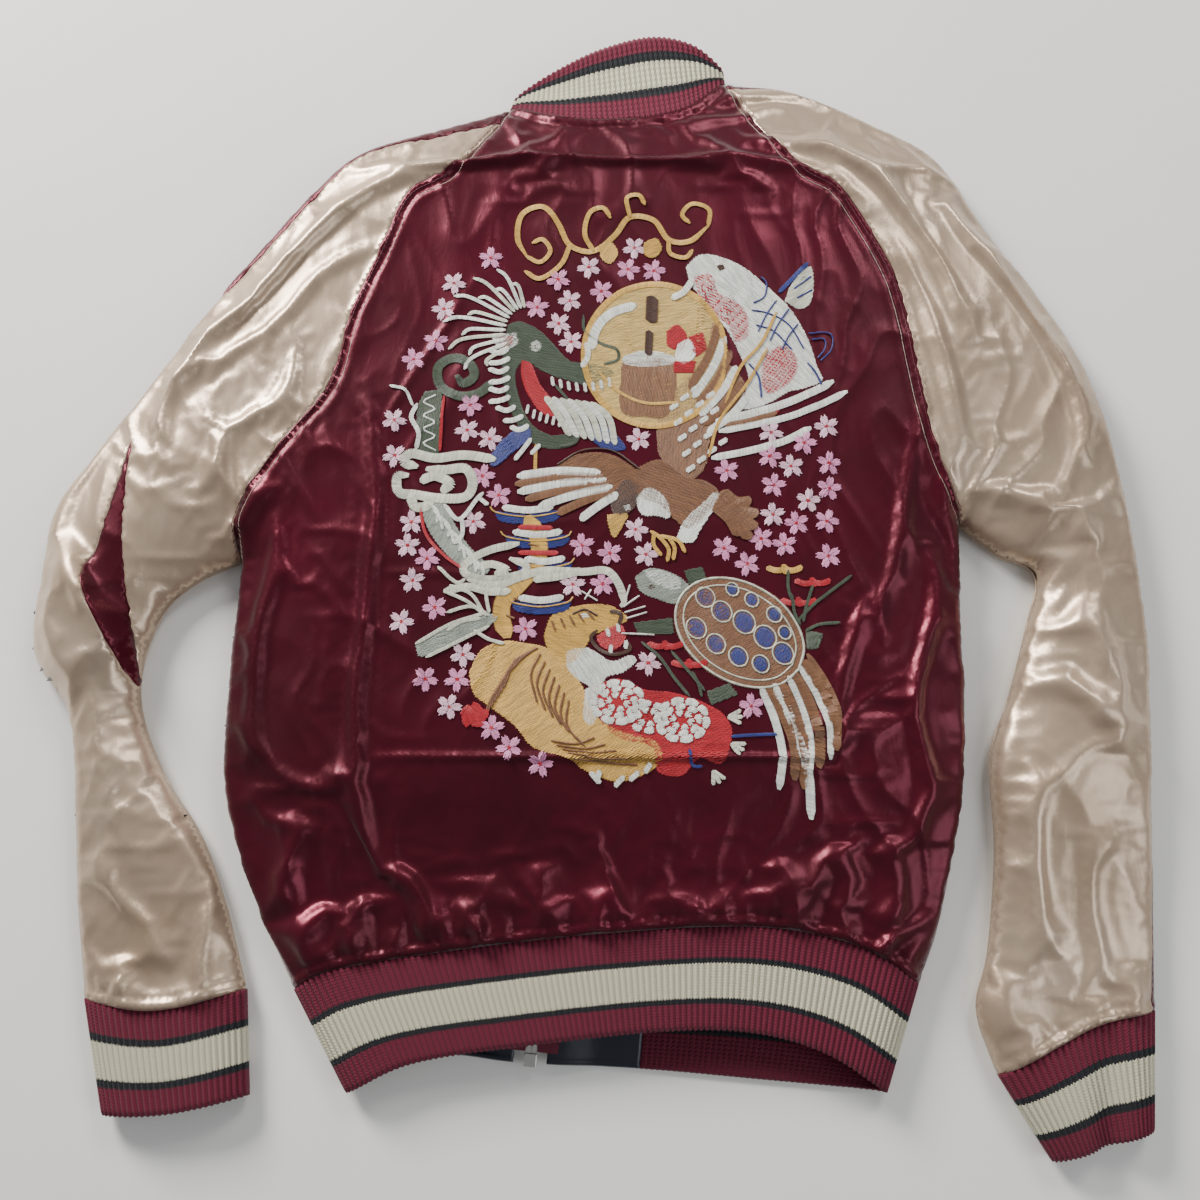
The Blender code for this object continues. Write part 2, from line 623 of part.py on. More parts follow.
def collar(jacket, knit):
    """One strip: up the left front neckline, round the fold, across the back of the neck, and down the right."""
    parts = []
    for end, shares in (("l", eased(8, 0.97, 0)), ("r", eased(8, 0, 0.97))):
        away = 1 if end == "r" else -1
        seam = shifted(SEAM[f"front_neck_{end}"], away * SEAM_GAP)
        start = trimmed(SEAM[f"collar_side_{end}"], 2 * SEAM_GAP)[0]
        fade = np.linspace(1, 0, len(seam))[:, None] ** 4
        seam = seam + fade * (start - seam[0])
        parts.append(draped(between(seam, SEAM[f"collar_end_{end}"], shares, 5), bottom_height))
    seam = past_seam("back_neck", "collar_side_l", "collar_side_r", -1)
    back = draped(between(seam, SEAM["collar_end_back"], eased(15), 5), top_height)
    cloth("collar_rib", folded(parts[0], back, parts[1]), RIB, knit, jacket)


# ---------------------------------------------------------------- lining and what is inside


def lining(jacket, satin):
    """The back, the two fronts and the two sleeve tubes of the lining, hung inside the shell."""
    us, vs = columns(10, ARMPIT_R[0] - ARMPIT_L[0]), body_rows()
    left, right = (inset_edge(body_side(end), LINING_INSET, sign) for end, sign in (("l", -1), ("r", 1)))
    grid = patch(left, right, along(SEAM["hem"], us), along(SEAM["back_neck"], us), us, vs)
    cloth("lining_back", draped(grid, top_height, LINING_INSET), LINING, satin, jacket)
    for side in ("left", "right"):
        grid = front_grid(side, columns(9, 220, both=False), LINING_INSET)
        cloth(f"lining_front_{side}", draped(grid[::-1], bottom_height, LINING_INSET), LINING, satin, jacket, side == "right")
    for side, end in (("left", "l"), ("right", "r")):
        over = sleeve_grid(end, eased(8), LINING_INSET, 3.0)
        under = draped(over[:, ::-1], bottom_height, LINING_INSET)
        tube = closed(folded(draped(over, top_height, LINING_INSET), under))
        cloth(f"lining_sleeve_{side}", tube, LINING, satin, jacket, end == "l", ring=True)


def pockets(jacket, frame, maroon, cotton):
    """A welt in each front panel's slit, and the bag behind it, pressed flat."""
    for side, sign in (("left", -1), ("right", 1)):
        w, h = WELT_SIZE[0] / 2, WELT_SIZE[1] / 2
        at_welt(box(f"pocket_welt_{side}", (-w, -h, 0), (w, h, SHELL), jacket, maroon), side)
        near, far = sorted(sign * x for x in POCKET_SPAN)
        middle = (np.array([beside_zip(sign * WELT_FROM_ZIP)[0][0], WELT_Y]) - ZIP_HEM) @ ZIP_WAY
        low = (near, middle - POCKET_LENGTH * 0.6, SHELL + GAP)
        high = (far, middle + POCKET_LENGTH * 0.4, SHELL + GAP + POCKET_THICK)
        box(f"pocket_bag_{side}", low, high, jacket, cotton, frame)


def label_edges(middle, size):
    """Lowest and highest X and Y of a trim of this size about a graded middle."""
    (x, y), (w, h) = graded([middle])[0], size
    return x - w / 2, x + w / 2, y - h / 2, y + h / 2


def trims(jacket, white, navy):
    """A blank size label and a hanging loop under the back neck, and a blank care label at the left side seam."""
    x0, x1, y0, y1 = label_edges(*SIZE_LABEL)
    corners = np.array([(x, y) for x in (x0, x1) for y in (y0, y1)], float)
    under = float(top_height(corners, inset=LINING_INSET).min()) - LINING - GAP
    box("size_label", (x0, y0, under - LABEL), (x1, y1, under), jacket, white)
    a, b, y, _ = label_edges(HANGER_LOOP[0], (HANGER_LOOP[1], 0))
    xs = np.linspace(a, b, 9)
    roof = float(top_height(np.array([((a + b) / 2, y)]), inset=LINING_INSET)[0]) - LINING - GAP - 1.6
    sag = [(x, y, roof - 3.0 * (1 - ((2 * x - a - b) / (b - a)) ** 2)) for x in xs]
    wire("hanger_loop", sag, 1.1, jacket, navy)
    x0, x1, y0, y1 = label_edges(*CARE_LABEL)
    box("care_label", (x0, y0, FOLD_HEIGHT), (x1, y1, FOLD_HEIGHT + LABEL), jacket, white)


# ---------------------------------------------------------------- embroidery


def embroidery(jacket, thread):
    """Each motif as a thin padded patch on the level middle of the back."""
    low = FOLD_HEIGHT + FOLD_GAP / 2 + BODY_RISE + GAP
    for name, points in MOTIFS.items():
        looped = smooth([*points[-1:], *points, *points[:2]], 4)[4:-5]
        prism(name, looped, low, low + EMBROIDERY, jacket, thread)


# ---------------------------------------------------------------- zip

ZIP_LENGTH = float(np.linalg.norm(np.subtract(ZIP_NECK, ZIP_HEM)))
CHAIN_TOP = ZIP_LENGTH - 14.0
CHAIN_LOW, CHAIN_HIGH = ZIP_HEIGHT - CHAIN_THICK / 2, ZIP_HEIGHT + CHAIN_THICK / 2
SLIDER_AT = CHAIN_TOP - SLIDER_LENGTH - 1.0  # the slider's lower end when the zip is closed
PLATE_LOW = CHAIN_LOW - CHAIN_CLEAR - SLIDER_PLATE  # the slider's outer face
PULL_AXIS_Y = SLIDER_AT + SLIDER_LENGTH / 2 + 1.0
PULL_AXIS_Z = PLATE_LOW - 0.3 - PULL_THICK / 2


def zip_frame():
    """An empty on the zip's middle line at the hem, turned so that its Y runs along the chain."""
    frame = bpy.data.objects.new("zip_frame", None)
    bpy.context.scene.collection.objects.link(frame)
    frame.location = (ZIP_HEM[0] * MM, ZIP_HEM[1] * MM, 0)
    frame.rotation_euler.z = -math.atan2(ZIP_WAY[0], ZIP_WAY[1])
    return frame


def teeth_outline(sign, start):
    """One row of teeth: a straight back and a tooth every pitch."""
    count = int((CHAIN_TOP - start) / TOOTH_PITCH)
    top = start + count * TOOTH_PITCH
    points = [(TOOTH_BACK, start), (TOOTH_BACK, top), (TOOTH_ROOT, top)]
    for k in reversed(range(count)):
        low, high = (start + (k + share) * TOOTH_PITCH for share in (0.2, 0.8))
        points += [(TOOTH_ROOT, high), (TOOTH_TIP, high), (TOOTH_TIP, low), (TOOTH_ROOT, low)]
    points.append((TOOTH_ROOT, start))
    return [(sign * x, y) for x, y in points]


def zip_chain(jacket, cutters, frame, tape_cloth, metal):
    """Tapes, rows of teeth, stops at the top, and the box and pin that start the zip at the hem."""
    inner = TOOTH_BACK + GAP
    low, high = ZIP_HEIGHT - TAPE / 2, ZIP_HEIGHT + TAPE / 2
    for side, sign in (("left", -1), ("right", 1)):
        start = BOX_LENGTH + 1.5 if sign > 0 else PIN_LENGTH + 2.0
        near, far = sorted((inner * sign, (inner + TAPE_WIDTH) * sign))
        box(f"zip_tape_{side}", (near, BOX_LENGTH + 1.0, low), (far, ZIP_LENGTH - 8, high), jacket, tape_cloth, frame)
        prism(f"zip_teeth_{side}", teeth_outline(sign, start), CHAIN_LOW, CHAIN_HIGH, jacket, metal, frame)
        near, far = sorted((TOOTH_TIP * sign, TOOTH_BACK * sign))
        at = CHAIN_TOP + GAP
        ends = (near, at, CHAIN_LOW), (far, at + STOP_LENGTH, CHAIN_HIGH)
        box(f"zip_top_stop_{side}", *ends, jacket, metal, frame, 0.3)
    half = BOX_WIDTH / 2
    ends = (-half, 0.5, CHAIN_LOW - BOX_WALL), (half, BOX_LENGTH, CHAIN_HIGH + BOX_WALL)
    catch = box("zip_retainer_box", *ends, jacket, metal, frame, 0.3)
    pin = (-TOOTH_BACK + 0.2, -TOOTH_TIP - 0.2)
    ends = (pin[0] - GAP, 1.6, CHAIN_LOW + 0.2), (pin[1] + GAP, BOX_LENGTH + 5, CHAIN_HIGH - 0.2)
    boolean(catch, box("pin_room", *ends, cutters, metal, frame), "DIFFERENCE")
    ends = (pin[0], 2.0, CHAIN_LOW + 0.2 + GAP), (pin[1], PIN_LENGTH, CHAIN_HIGH - 0.2 - GAP)
    box("zip_insertion_pin", *ends, jacket, metal, frame)


def slider_section():
    """The slider's outline across the chain: two plates on a middle blade, with lips towards the tapes."""
    blade = TOOTH_TIP - 0.3
    low, high = CHAIN_LOW - CHAIN_CLEAR, CHAIN_HIGH + CHAIN_CLEAR
    lip = SLIDER_HALF_WIDTH - SLIDER_LIP
    tape_low, tape_high = ZIP_HEIGHT - TAPE / 2 - 0.4, ZIP_HEIGHT + TAPE / 2 + 0.4
    half = [
        (SLIDER_HALF_WIDTH, low - SLIDER_PLATE), (SLIDER_HALF_WIDTH, tape_low), (lip, tape_low), (lip, low),
        (blade, low), (blade, high), (lip, high), (lip, tape_high), (SLIDER_HALF_WIDTH, tape_high),
        (SLIDER_HALF_WIDTH, high + SLIDER_PLATE),
    ]
    return half + [(-x, z) for x, z in reversed(half)]


def zip_slider(jacket, cutters, frame, metal):
    """The slider's body, with the bridge that holds the pull on its outer side."""
    body = prism("zip_slider", slider_section(), -SLIDER_LENGTH / 2, SLIDER_LENGTH / 2, jacket, metal, frame)
    body.location = (0, (SLIDER_AT + SLIDER_LENGTH / 2) * MM, 0)
    body.rotation_euler.x = math.pi / 2
    y0, y1 = SLIDER_AT + 2, SLIDER_AT + SLIDER_LENGTH - 1.5
    drop = PLATE_LOW - BRIDGE_DROP + BRIDGE_WIRE
    root = PLATE_LOW + 0.5
    arch = [(0, y0, root), (0, y0 + 0.3, drop + 0.7), (0, y0 + 1.2, drop), (0, y1 - 1.2, drop),
            (0, y1 - 0.3, drop + 0.7), (0, y1, root)]
    boolean(body, as_mesh(wire("slider_bridge", arch, BRIDGE_WIRE, cutters, metal, frame)), "UNION")


def zip_pull(jacket, cutters, frame, metal):
    """The pull: a flat plate with an eye round the bridge, that turns on its upper bar."""
    axis = bpy.data.objects.new("pull_axis", None)
    bpy.context.scene.collection.objects.link(axis)
    axis.parent = frame
    axis.location = (0, PULL_AXIS_Y * MM, PULL_AXIS_Z * MM)
    half, eye = PULL_WIDTH / 2, PULL_EYE[0] / 2
    bar = PULL_THICK / 2
    end = half * 0.62
    turns = np.linspace(math.pi, 2 * math.pi, 9)
    round_end = [(end * math.cos(a), end + end * math.sin(a) - PULL_LENGTH) for a in turns]
    points = [(-half * 0.8, bar), (-half, bar - 3), *round_end, (half, bar - 3), (half * 0.8, bar)]
    plate = prism("zip_pull", points, -bar, bar, jacket, metal, axis)
    ends = (-eye, -bar - PULL_EYE[1], -PULL_THICK), (eye, -bar, PULL_THICK)
    boolean(plate, box("pull_eye", *ends, cutters, metal, axis), "DIFFERENCE")


def main():
    clear_scene()
    groups = {}
    for name in ("satin_bomber_jacket", "cutters"):
        groups[name] = bpy.data.collections.new(name)
        bpy.context.scene.collection.children.link(groups[name])
    jacket, cutters = groups["satin_bomber_jacket"], groups["cutters"]
    cutters.hide_render = True

    maroon = material("maroon satin", MAROON, 0.35)
    champagne = material("champagne satin", CHAMPAGNE, 0.3)
    knit = material("striped rib knit", KNIT_RED, 0.9)
    navy = material("navy satin lining", NAVY, 0.4)
    thread = material("embroidery thread", GOLD_THREAD, 0.45)
    metal = material("nickel plated brass", NICKEL, 0.25, 1.0)
    white = material("woven label", LABEL_WHITE, 0.8)

    body_panels(jacket, cutters, maroon)
    sleeves(jacket, champagne, maroon)
    cuffs(jacket, knit)
    hem(jacket, knit, navy)
    collar(jacket, knit)
    lining(jacket, navy)
    trims(jacket, white, navy)
    embroidery(jacket, thread)
    frame = zip_frame()
    pockets(jacket, frame, maroon, navy)
    zip_chain(jacket, cutters, frame, navy, metal)
    zip_slider(jacket, cutters, frame, metal)
    zip_pull(jacket, cutters, frame, metal)


main()
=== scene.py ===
# %% [markdown]
# # A satin souvenir jacket, laid face down
#
# The real thing is a zipped bomber jacket of slippery satin with knitted ribs and a large
# embroidery, spread on the floor with its back upwards. We build it as a tailor would: the
# seams first, as smooth curves, then cloth between the seams, then everything sewn onto it.
# %% Load the frame
import json
import math
import time

import bpy
import numpy as np
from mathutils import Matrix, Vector, noise
from mathutils.bvhtree import BVHTree
from mathutils.geometry import delaunay_2d_cdt

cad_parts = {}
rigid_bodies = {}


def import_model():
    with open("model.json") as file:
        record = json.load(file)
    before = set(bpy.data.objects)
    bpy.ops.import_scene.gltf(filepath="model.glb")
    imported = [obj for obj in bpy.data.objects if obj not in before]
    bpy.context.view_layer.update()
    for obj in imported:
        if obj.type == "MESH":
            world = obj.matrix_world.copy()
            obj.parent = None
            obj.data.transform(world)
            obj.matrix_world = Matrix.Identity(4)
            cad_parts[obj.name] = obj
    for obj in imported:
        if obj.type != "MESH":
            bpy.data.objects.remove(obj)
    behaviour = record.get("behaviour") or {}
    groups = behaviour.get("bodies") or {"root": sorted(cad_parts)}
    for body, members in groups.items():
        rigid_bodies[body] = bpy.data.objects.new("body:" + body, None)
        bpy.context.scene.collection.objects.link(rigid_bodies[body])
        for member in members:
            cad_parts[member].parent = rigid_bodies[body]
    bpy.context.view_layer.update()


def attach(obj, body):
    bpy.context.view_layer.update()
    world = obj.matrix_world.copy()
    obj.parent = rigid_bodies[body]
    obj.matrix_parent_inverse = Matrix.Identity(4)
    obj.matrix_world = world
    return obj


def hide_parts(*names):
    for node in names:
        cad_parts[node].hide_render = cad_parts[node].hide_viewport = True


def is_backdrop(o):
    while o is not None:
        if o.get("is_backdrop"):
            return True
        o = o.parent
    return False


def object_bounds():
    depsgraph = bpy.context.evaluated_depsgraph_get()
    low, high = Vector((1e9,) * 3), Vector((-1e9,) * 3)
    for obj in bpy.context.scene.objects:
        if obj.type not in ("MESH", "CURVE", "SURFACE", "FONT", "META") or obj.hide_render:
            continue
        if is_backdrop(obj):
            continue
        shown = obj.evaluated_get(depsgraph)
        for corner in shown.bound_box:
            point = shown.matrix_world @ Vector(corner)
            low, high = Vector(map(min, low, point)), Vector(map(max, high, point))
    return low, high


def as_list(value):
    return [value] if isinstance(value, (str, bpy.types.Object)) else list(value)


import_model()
MM = 0.001

# %% [markdown]
# ## The seams
#
# A flat jacket is mostly its seams: they fix every panel's outline. Each one is given by a few
# points in millimetres, with X to the wearer's right and Y towards the collar, and a smooth
# curve is passed through them. Typing them once keeps neighbouring panels in step.
# %% Seam points
NECK_L, NECK_R = (-57, 318), (94, 338)
ARMPIT_L, ARMPIT_R = (-225, -8), (239, 16)
HEM_L, HEM_R = (-178, -272), (198, -269)
HEM_CORNER_L, HEM_CORNER_R = (-144, -331), (176, -331)
CUFF_L_OUT, CUFF_L_IN = (-304, -277), (-207, -272)
CUFF_L_END_OUT, CUFF_L_END_IN = (-288, -343), (-202, -332)
CUFF_R_OUT, CUFF_R_IN = (339, -284), (242, -321)
CUFF_R_END_OUT, CUFF_R_END_IN = (332, -352), (271, -369)
COLLAR_CORNER_L, COLLAR_CORNER_R = (-54, 326), (93, 349)
SEAM_POINTS = {
    "raglan_l": [NECK_L, (-68, 295), (-94, 254), (-119, 238), (-134, 202), (-154, 150), (-166, 104),
                 (-194, 66), (-222, 22), ARMPIT_L],
    "raglan_r": [NECK_R, (112, 298), (138, 259), (164, 240), (190, 194), (201, 160), (208, 115),
                 (217, 66), (232, 30), ARMPIT_R],
    "side_l": [HEM_L, (-204, -221), (-220, -180), (-228, -140), (-228, -70), ARMPIT_L],
    "side_r": [HEM_R, (213, -231), (229, -165), (236, -100), (236, -40), ARMPIT_R],
    "outer_l": [NECK_L, (-105, 302), (-160, 281), (-200, 240), (-244, 184), (-280, 128), (-310, 84),
                (-344, 32), (-352, -12), (-354, -67), (-328, -108), (-319, -170), (-313, -222), CUFF_L_OUT],
    "outer_r": [NECK_R, (140, 331), (203, 299), (237, 276), (268, 225), (303, 174), (330, 118),
                (347, 35), (354, -52), (351, -110), (346, -190), CUFF_R_OUT],
    "inner_l": [ARMPIT_L, (-254, -22), (-275, -44), (-285, -92), (-268, -140), (-241, -180),
                (-223, -221), CUFF_L_IN],
    "inner_r": [ARMPIT_R, (264, -4), (287, -16), (278, -52), (264, -96), (250, -134), (249, -190),
                (241, -250), (232, -284), CUFF_R_IN],
    "cuff_l": [CUFF_L_OUT, (-257, -283), CUFF_L_IN],
    "cuff_r": [CUFF_R_OUT, (304, -290), (276, -303), CUFF_R_IN],
    "cuff_end_l": [CUFF_L_END_OUT, (-246, -341), CUFF_L_END_IN],
    "cuff_end_r": [CUFF_R_END_OUT, (304, -359), CUFF_R_END_IN],
    "hem": [HEM_L, (-153, -260), (-84, -249), (6, -239), (99, -235), (160, -246), HEM_R],
    "hem_end_back": [HEM_CORNER_L, (-104, -313), (-35, -303), (45, -295), (97, -296), (140, -308), HEM_CORNER_R],
    "hem_end_front": [HEM_CORNER_L, (-104, -311), (-36, -315), (36, -319), (106, -325), HEM_CORNER_R],
    "back_neck": [NECK_L, (-22, 303), (20, 300), (62, 309), NECK_R],
    "front_neck_l": [NECK_L, (-44, 276), (-18, 244), (9, 234)],
    "front_neck_r": [NECK_R, (76, 280), (50, 246), (28, 234)],
    "collar_end_back": [COLLAR_CORNER_L, (-22, 344), (8, 359), (41, 368), (70, 364), COLLAR_CORNER_R],
    "collar_end_l": [COLLAR_CORNER_L, (-30, 304), (-8, 286), (11, 281)],
    "collar_end_r": [COLLAR_CORNER_R, (66, 310), (44, 288), (27, 281)],
    "cuff_out_l": [CUFF_L_OUT, CUFF_L_END_OUT], "cuff_in_l": [CUFF_L_IN, CUFF_L_END_IN],
    "cuff_out_r": [CUFF_R_OUT, CUFF_R_END_OUT], "cuff_in_r": [CUFF_R_IN, CUFF_R_END_IN],
    "hem_side_l": [HEM_L, HEM_CORNER_L], "hem_side_r": [HEM_R, HEM_CORNER_R],
    "collar_side_l": [NECK_L, COLLAR_CORNER_L], "collar_side_r": [NECK_R, COLLAR_CORNER_R],
}
FOLD_NAMES = ("side_l", "side_r", "outer_l", "outer_r", "inner_l", "inner_r", "cuff_out_l", "cuff_out_r",
              "cuff_in_l", "cuff_in_r", "hem_side_l", "hem_side_r", "collar_side_l", "collar_side_r")


# %% Smooth curves through the points
def smooth(points, steps=16):
    p = np.array(points, float)
    ends = np.vstack([2 * p[0] - p[1], p, 2 * p[-1] - p[-2]])
    t = np.linspace(0, 1, steps, endpoint=False)[:, None]
    spans = []
    for a, b, c, d in zip(ends, ends[1:], ends[2:], ends[3:]):
        bend = (2 * a - 5 * b + 4 * c - d) * t**2 + (3 * b - a - 3 * c + d) * t**3
        spans.append(0.5 * (2 * b + (c - a) * t + bend))
    return np.vstack([*spans, p[-1:]])


def walked(line):
    return np.concatenate([[0], np.cumsum(np.linalg.norm(np.diff(line, axis=0), axis=1))])


def along(line, shares):
    line = np.asarray(line, float)
    length = walked(line)
    at = np.asarray(shares, float) * length[-1]
    return np.stack([np.interp(at, length, line[:, k]) for k in range(line.shape[1])], axis=-1)


def spaced(line, step):
    """The curve again, with points about this far apart."""
    count = max(2, int(round(walked(line)[-1] / step)) + 1)
    return along(line, np.linspace(0, 1, count))


def shifted(line, distance):
    """The curve moved sideways, to the right of its direction."""
    way = np.gradient(line, axis=0)
    way /= np.linalg.norm(way, axis=1)[:, None]
    return line + distance * np.stack([way[:, 1], -way[:, 0]], axis=1)


def smoothstep(low, high, x):
    t = np.clip((np.asarray(x, float) - low) / (high - low), 0, 1)
    return t * t * (3 - 2 * t)


def line_distance(plan, line):
    """Distance of each point from a curve, and how far along the curve the nearest place is."""
    start, run = line[:-1], np.diff(line, axis=0)
    length = walked(line)
    best, at = np.full(len(plan), 1e9), np.zeros(len(plan))
    for a, r, w0, w1 in zip(start, run, length, length[1:]):
        share = np.clip(((plan - a) @ r) / max(r @ r, 1e-9), 0, 1)
        d = np.linalg.norm(plan - a - share[:, None] * r, axis=1)
        near = d < best
        best[near], at[near] = d[near], (w0 + share * (w1 - w0))[near]
    return best, at


SEAM = {name: smooth(points) for name, points in SEAM_POINTS.items()}
print(len(SEAM), "seams, from", round(walked(SEAM["hem"])[-1]), "mm of hem to",
      round(walked(SEAM["outer_l"])[-1]), "mm of sleeve")

# %% [markdown]
# ## How the cloth stands off the floor
#
# The jacket's two layers meet along its side folds. The upper one domes up from them, over the
# air and the lining inside, and the lower one lies on the floor. Both heights depend on how far
# a point is from the nearest fold, so one formula serves for body, sleeves and ribs.
# %% Height of both layers
FOLD_HEIGHT = 8.0
BODY_RISE, RIB_RISE, COLLAR_RISE = 26.0, 12.0, 13.0
BODY_SPREAD, RIB_SPREAD, BOTTOM_SPREAD = 60.0, 26.0, 18.0
RIB_ZONE, COLLAR_ZONE = (-250.0, -130.0), (255.0, 330.0)
ZIP_HEM, ZIP_NECK = np.array((-36.0, -317.0)), np.array((18.0, 232.0))
ZIP_WAY = (ZIP_NECK - ZIP_HEM) / np.linalg.norm(ZIP_NECK - ZIP_HEM)
ZIP_ACROSS = np.array([ZIP_WAY[1], -ZIP_WAY[0]])
FOLD_LINES = [spaced(SEAM[name], 6) for name in FOLD_NAMES]


def fold_distance(plan):
    return np.min([line_distance(plan, line)[0] for line in FOLD_LINES], axis=0)


def bulge(distance, spread):
    t = np.clip(np.asarray(distance) / spread, 0, 1)
    return np.sqrt(np.maximum(1 - (1 - t) ** 2, 0))


def top_height(plan, inset=0.0, drop=0.0):
    rib = 1 - smoothstep(*RIB_ZONE, plan[:, 1])
    collar = smoothstep(*COLLAR_ZONE, plan[:, 1])
    rise = BODY_RISE + (RIB_RISE - BODY_RISE) * rib + (COLLAR_RISE - BODY_RISE) * collar - drop
    spread = BODY_SPREAD + (RIB_SPREAD - BODY_SPREAD) * rib
    return FOLD_HEIGHT + 0.45 + rise * bulge(np.maximum(fold_distance(plan) - inset, 0), spread)


def bottom_height(plan, inset=0.0, floor=0.0):
    inside = np.maximum(fold_distance(plan) - inset, 0)
    shape = bulge(inside, BOTTOM_SPREAD)
    rise = 4.3 * (1 - smoothstep(15, 42, np.abs((plan - ZIP_HEM) @ ZIP_ACROSS)))
    return 7.55 - (7.55 - floor) * shape + rise * shape


print("middle of the back stands", round(float(top_height(np.array([[5.0, 50.0]]))[0]), 1), "mm high")

# %% [markdown]
# ## Folds
#
# Satin is known by its folds. Cloth simulation finds the small ones by itself, but the big ones
# come from how someone put the jacket down, so they are laid in as ridges: a height, a
# half width and the line that the crest follows. Where the ribs gather the cloth, many
# small pleats fan out of the seam, and those come from a seeded random list.
# %% The big folds
RIDGES = [
    # body, left of the embroidery
    (2.5, 7, [(-131, 69), (-134, 7), (-138, -67), (-139, -138), (-128, -190), (-101, -242)]),
    (5, 16, [(-184, 29), (-190, -18), (-202, -67), (-205, -115), (-205, -160)]),
    (6, 10, [(-174, -154), (-177, -184), (-184, -213), (-190, -237)]),
    (5, 8, [(-146, -215), (-160, -228), (-172, -242), (-177, -262)]),
    (5, 7, [(-122, -226), (-134, -222), (-141, -239), (-145, -255)]),
    (5, 9, [(-114, -190), (-101, -222), (-89, -245)]),
    (4, 22, [(-155, -11), (-158, -99), (-151, -178)]),
    # above the hem
    (3.5, 12, [(-72, -196), (-69, -222), (-76, -245)]),
    (3, 12, [(-30, -190), (-23, -219), (-25, -237)]),
    (3, 10, [(12, -208), (17, -228), (12, -238)]),
    (3.5, 11, [(60, -190), (66, -213), (62, -234)]),
    (3.5, 11, [(105, -187), (111, -213), (106, -234)]),
    (4.5, 10, [(139, -178), (153, -208), (155, -237)]),
    (4.5, 9, [(175, -172), (181, -208), (175, -242)]),
    # body, right of the embroidery
    (4, 18, [(182, 83), (191, 16), (181, -62), (170, -124), (175, -172)]),
    (5, 14, [(213, 16), (213, -36), (200, -99), (201, -160), (188, -219)]),
    (3.5, 12, [(164, -11), (153, -87), (147, -148)]),
    (2.5, 10, [(-21, 276), (-35, 250), (-61, 228)]),
    (2.5, 10, [(74, 295), (94, 258), (120, 228)]),
    # left sleeve
    (6, 12, [(-129, 247), (-175, 217), (-218, 166), (-253, 131), (-272, 96), (-277, 59)]),
    (5, 12, [(-115, 210), (-160, 188), (-205, 145), (-246, 116), (-267, 93), (-272, 79)]),
    (5, 8, [(-193, 49), (-217, 16), (-244, -11), (-266, -29)]),
    (5, 12, [(-171, 138), (-196, 96), (-226, 69), (-249, 16)]),
    (8, 12, [(-336, 6), (-310, -40), (-283, -93), (-277, -107), (-286, -131)]),
    (6, 22, [(-331, 16), (-332, -36), (-322, -81), (-306, -99)]),
    (5, 9, [(-280, -99), (-262, -142), (-237, -181), (-216, -222)]),
    (5, 10, [(-307, -178), (-290, -208), (-269, -234), (-259, -257), (-255, -276)]),
    (3, 7, [(-230, -219), (-231, -248), (-232, -268)]),
    (3, 7, [(-284, -248), (-278, -268), (-278, -281)]),
    # right sleeve
    (6, 14, [(136, 295), (176, 261), (211, 217), (237, 159), (257, 110)]),
    (4, 10, [(181, 228), (208, 174), (225, 117), (238, 62)]),
    (5, 14, [(230, 261), (263, 195), (295, 138), (317, 83), (325, 29)]),
    (6, 9, [(235, 16), (260, 2), (284, -11), (315, -17)]),
    (5, 10, [(230, 42), (268, 29), (299, 16), (328, -11)]),
    (6, 12, [(283, -30), (306, -49), (321, -93), (320, -142)]),
    (5, 10, [(262, -99), (285, -87), (305, -99), (313, -124)]),
    (5, 12, [(276, -124), (266, -178), (271, -231), (277, -271)]),
    (4, 10, [(309, -160), (302, -208), (305, -254), (305, -282)]),
    (4, 8, [(248, -254), (243, -282), (248, -304)]),
]


def ridge_height(plan):
    total = np.zeros(len(plan))
    for height, half, points in RIDGES:
        line = smooth(points, 6)
        d, at = line_distance(plan, line)
        long = walked(line)[-1]
        ends = smoothstep(0, 0.3 * long, at) * smoothstep(0, 0.25 * long, long - at) + 0.0
        total += height * np.exp(-(d / half) ** 2) * np.maximum(ends, 0.15)
    return total


# %% Gathers above the ribs
chance = np.random.default_rng(7)


def gathers(plan, seam, pitch, height, reach):
    """Small pleats that fan out of a seam: each has its own place, width, length and lean."""
    d, at = line_distance(plan, SEAM[seam])
    total = np.zeros(len(plan))
    place = 2.0
    while place < walked(SEAM[seam])[-1]:
        width, long = pitch * chance.uniform(0.3, 0.62), reach * chance.uniform(0.35, 1.3)
        lean, tall = chance.normal(0, 0.22), height * chance.uniform(0.4, 1.3)
        off = at - place - lean * d
        fade = np.exp(-(d / long) ** 1.5) * smoothstep(-1, 5, d)
        total += tall * fade * np.exp(-(off / (width * (1 + d / reach))) ** 2)
        place += pitch * chance.uniform(0.55, 1.5)
    return total


print(len(RIDGES), "big folds")

# %% [markdown]
# ## The upper layer as one net of triangles
#
# All the upper panels are cut from one net, so that they move together in the simulation and
# still meet exactly at their seams. The net is a constrained Delaunay triangulation: the seams
# go in as edges that it has to keep, and a honeycomb of points fills the space between them.
# %% Outlines of the regions
def inside(plan, outline):
    """Which points lie inside a closed outline."""
    x, y = plan[:, 0], plan[:, 1]
    hit = np.zeros(len(plan), bool)
    for (x0, y0), (x1, y1) in zip(outline, np.roll(outline, -1, axis=0)):
        if y0 != y1:
            hit ^= ((y0 > y) != (y1 > y)) & (x < (x1 - x0) * (y - y0) / (y1 - y0) + x0)
    return hit


def loop(*names):
    """A closed outline from seams in order; a name with a minus runs backwards."""
    parts = [SEAM[n[1:]][::-1] if n.startswith("-") else SEAM[n] for n in names]
    return np.vstack([p[:-1] for p in parts])


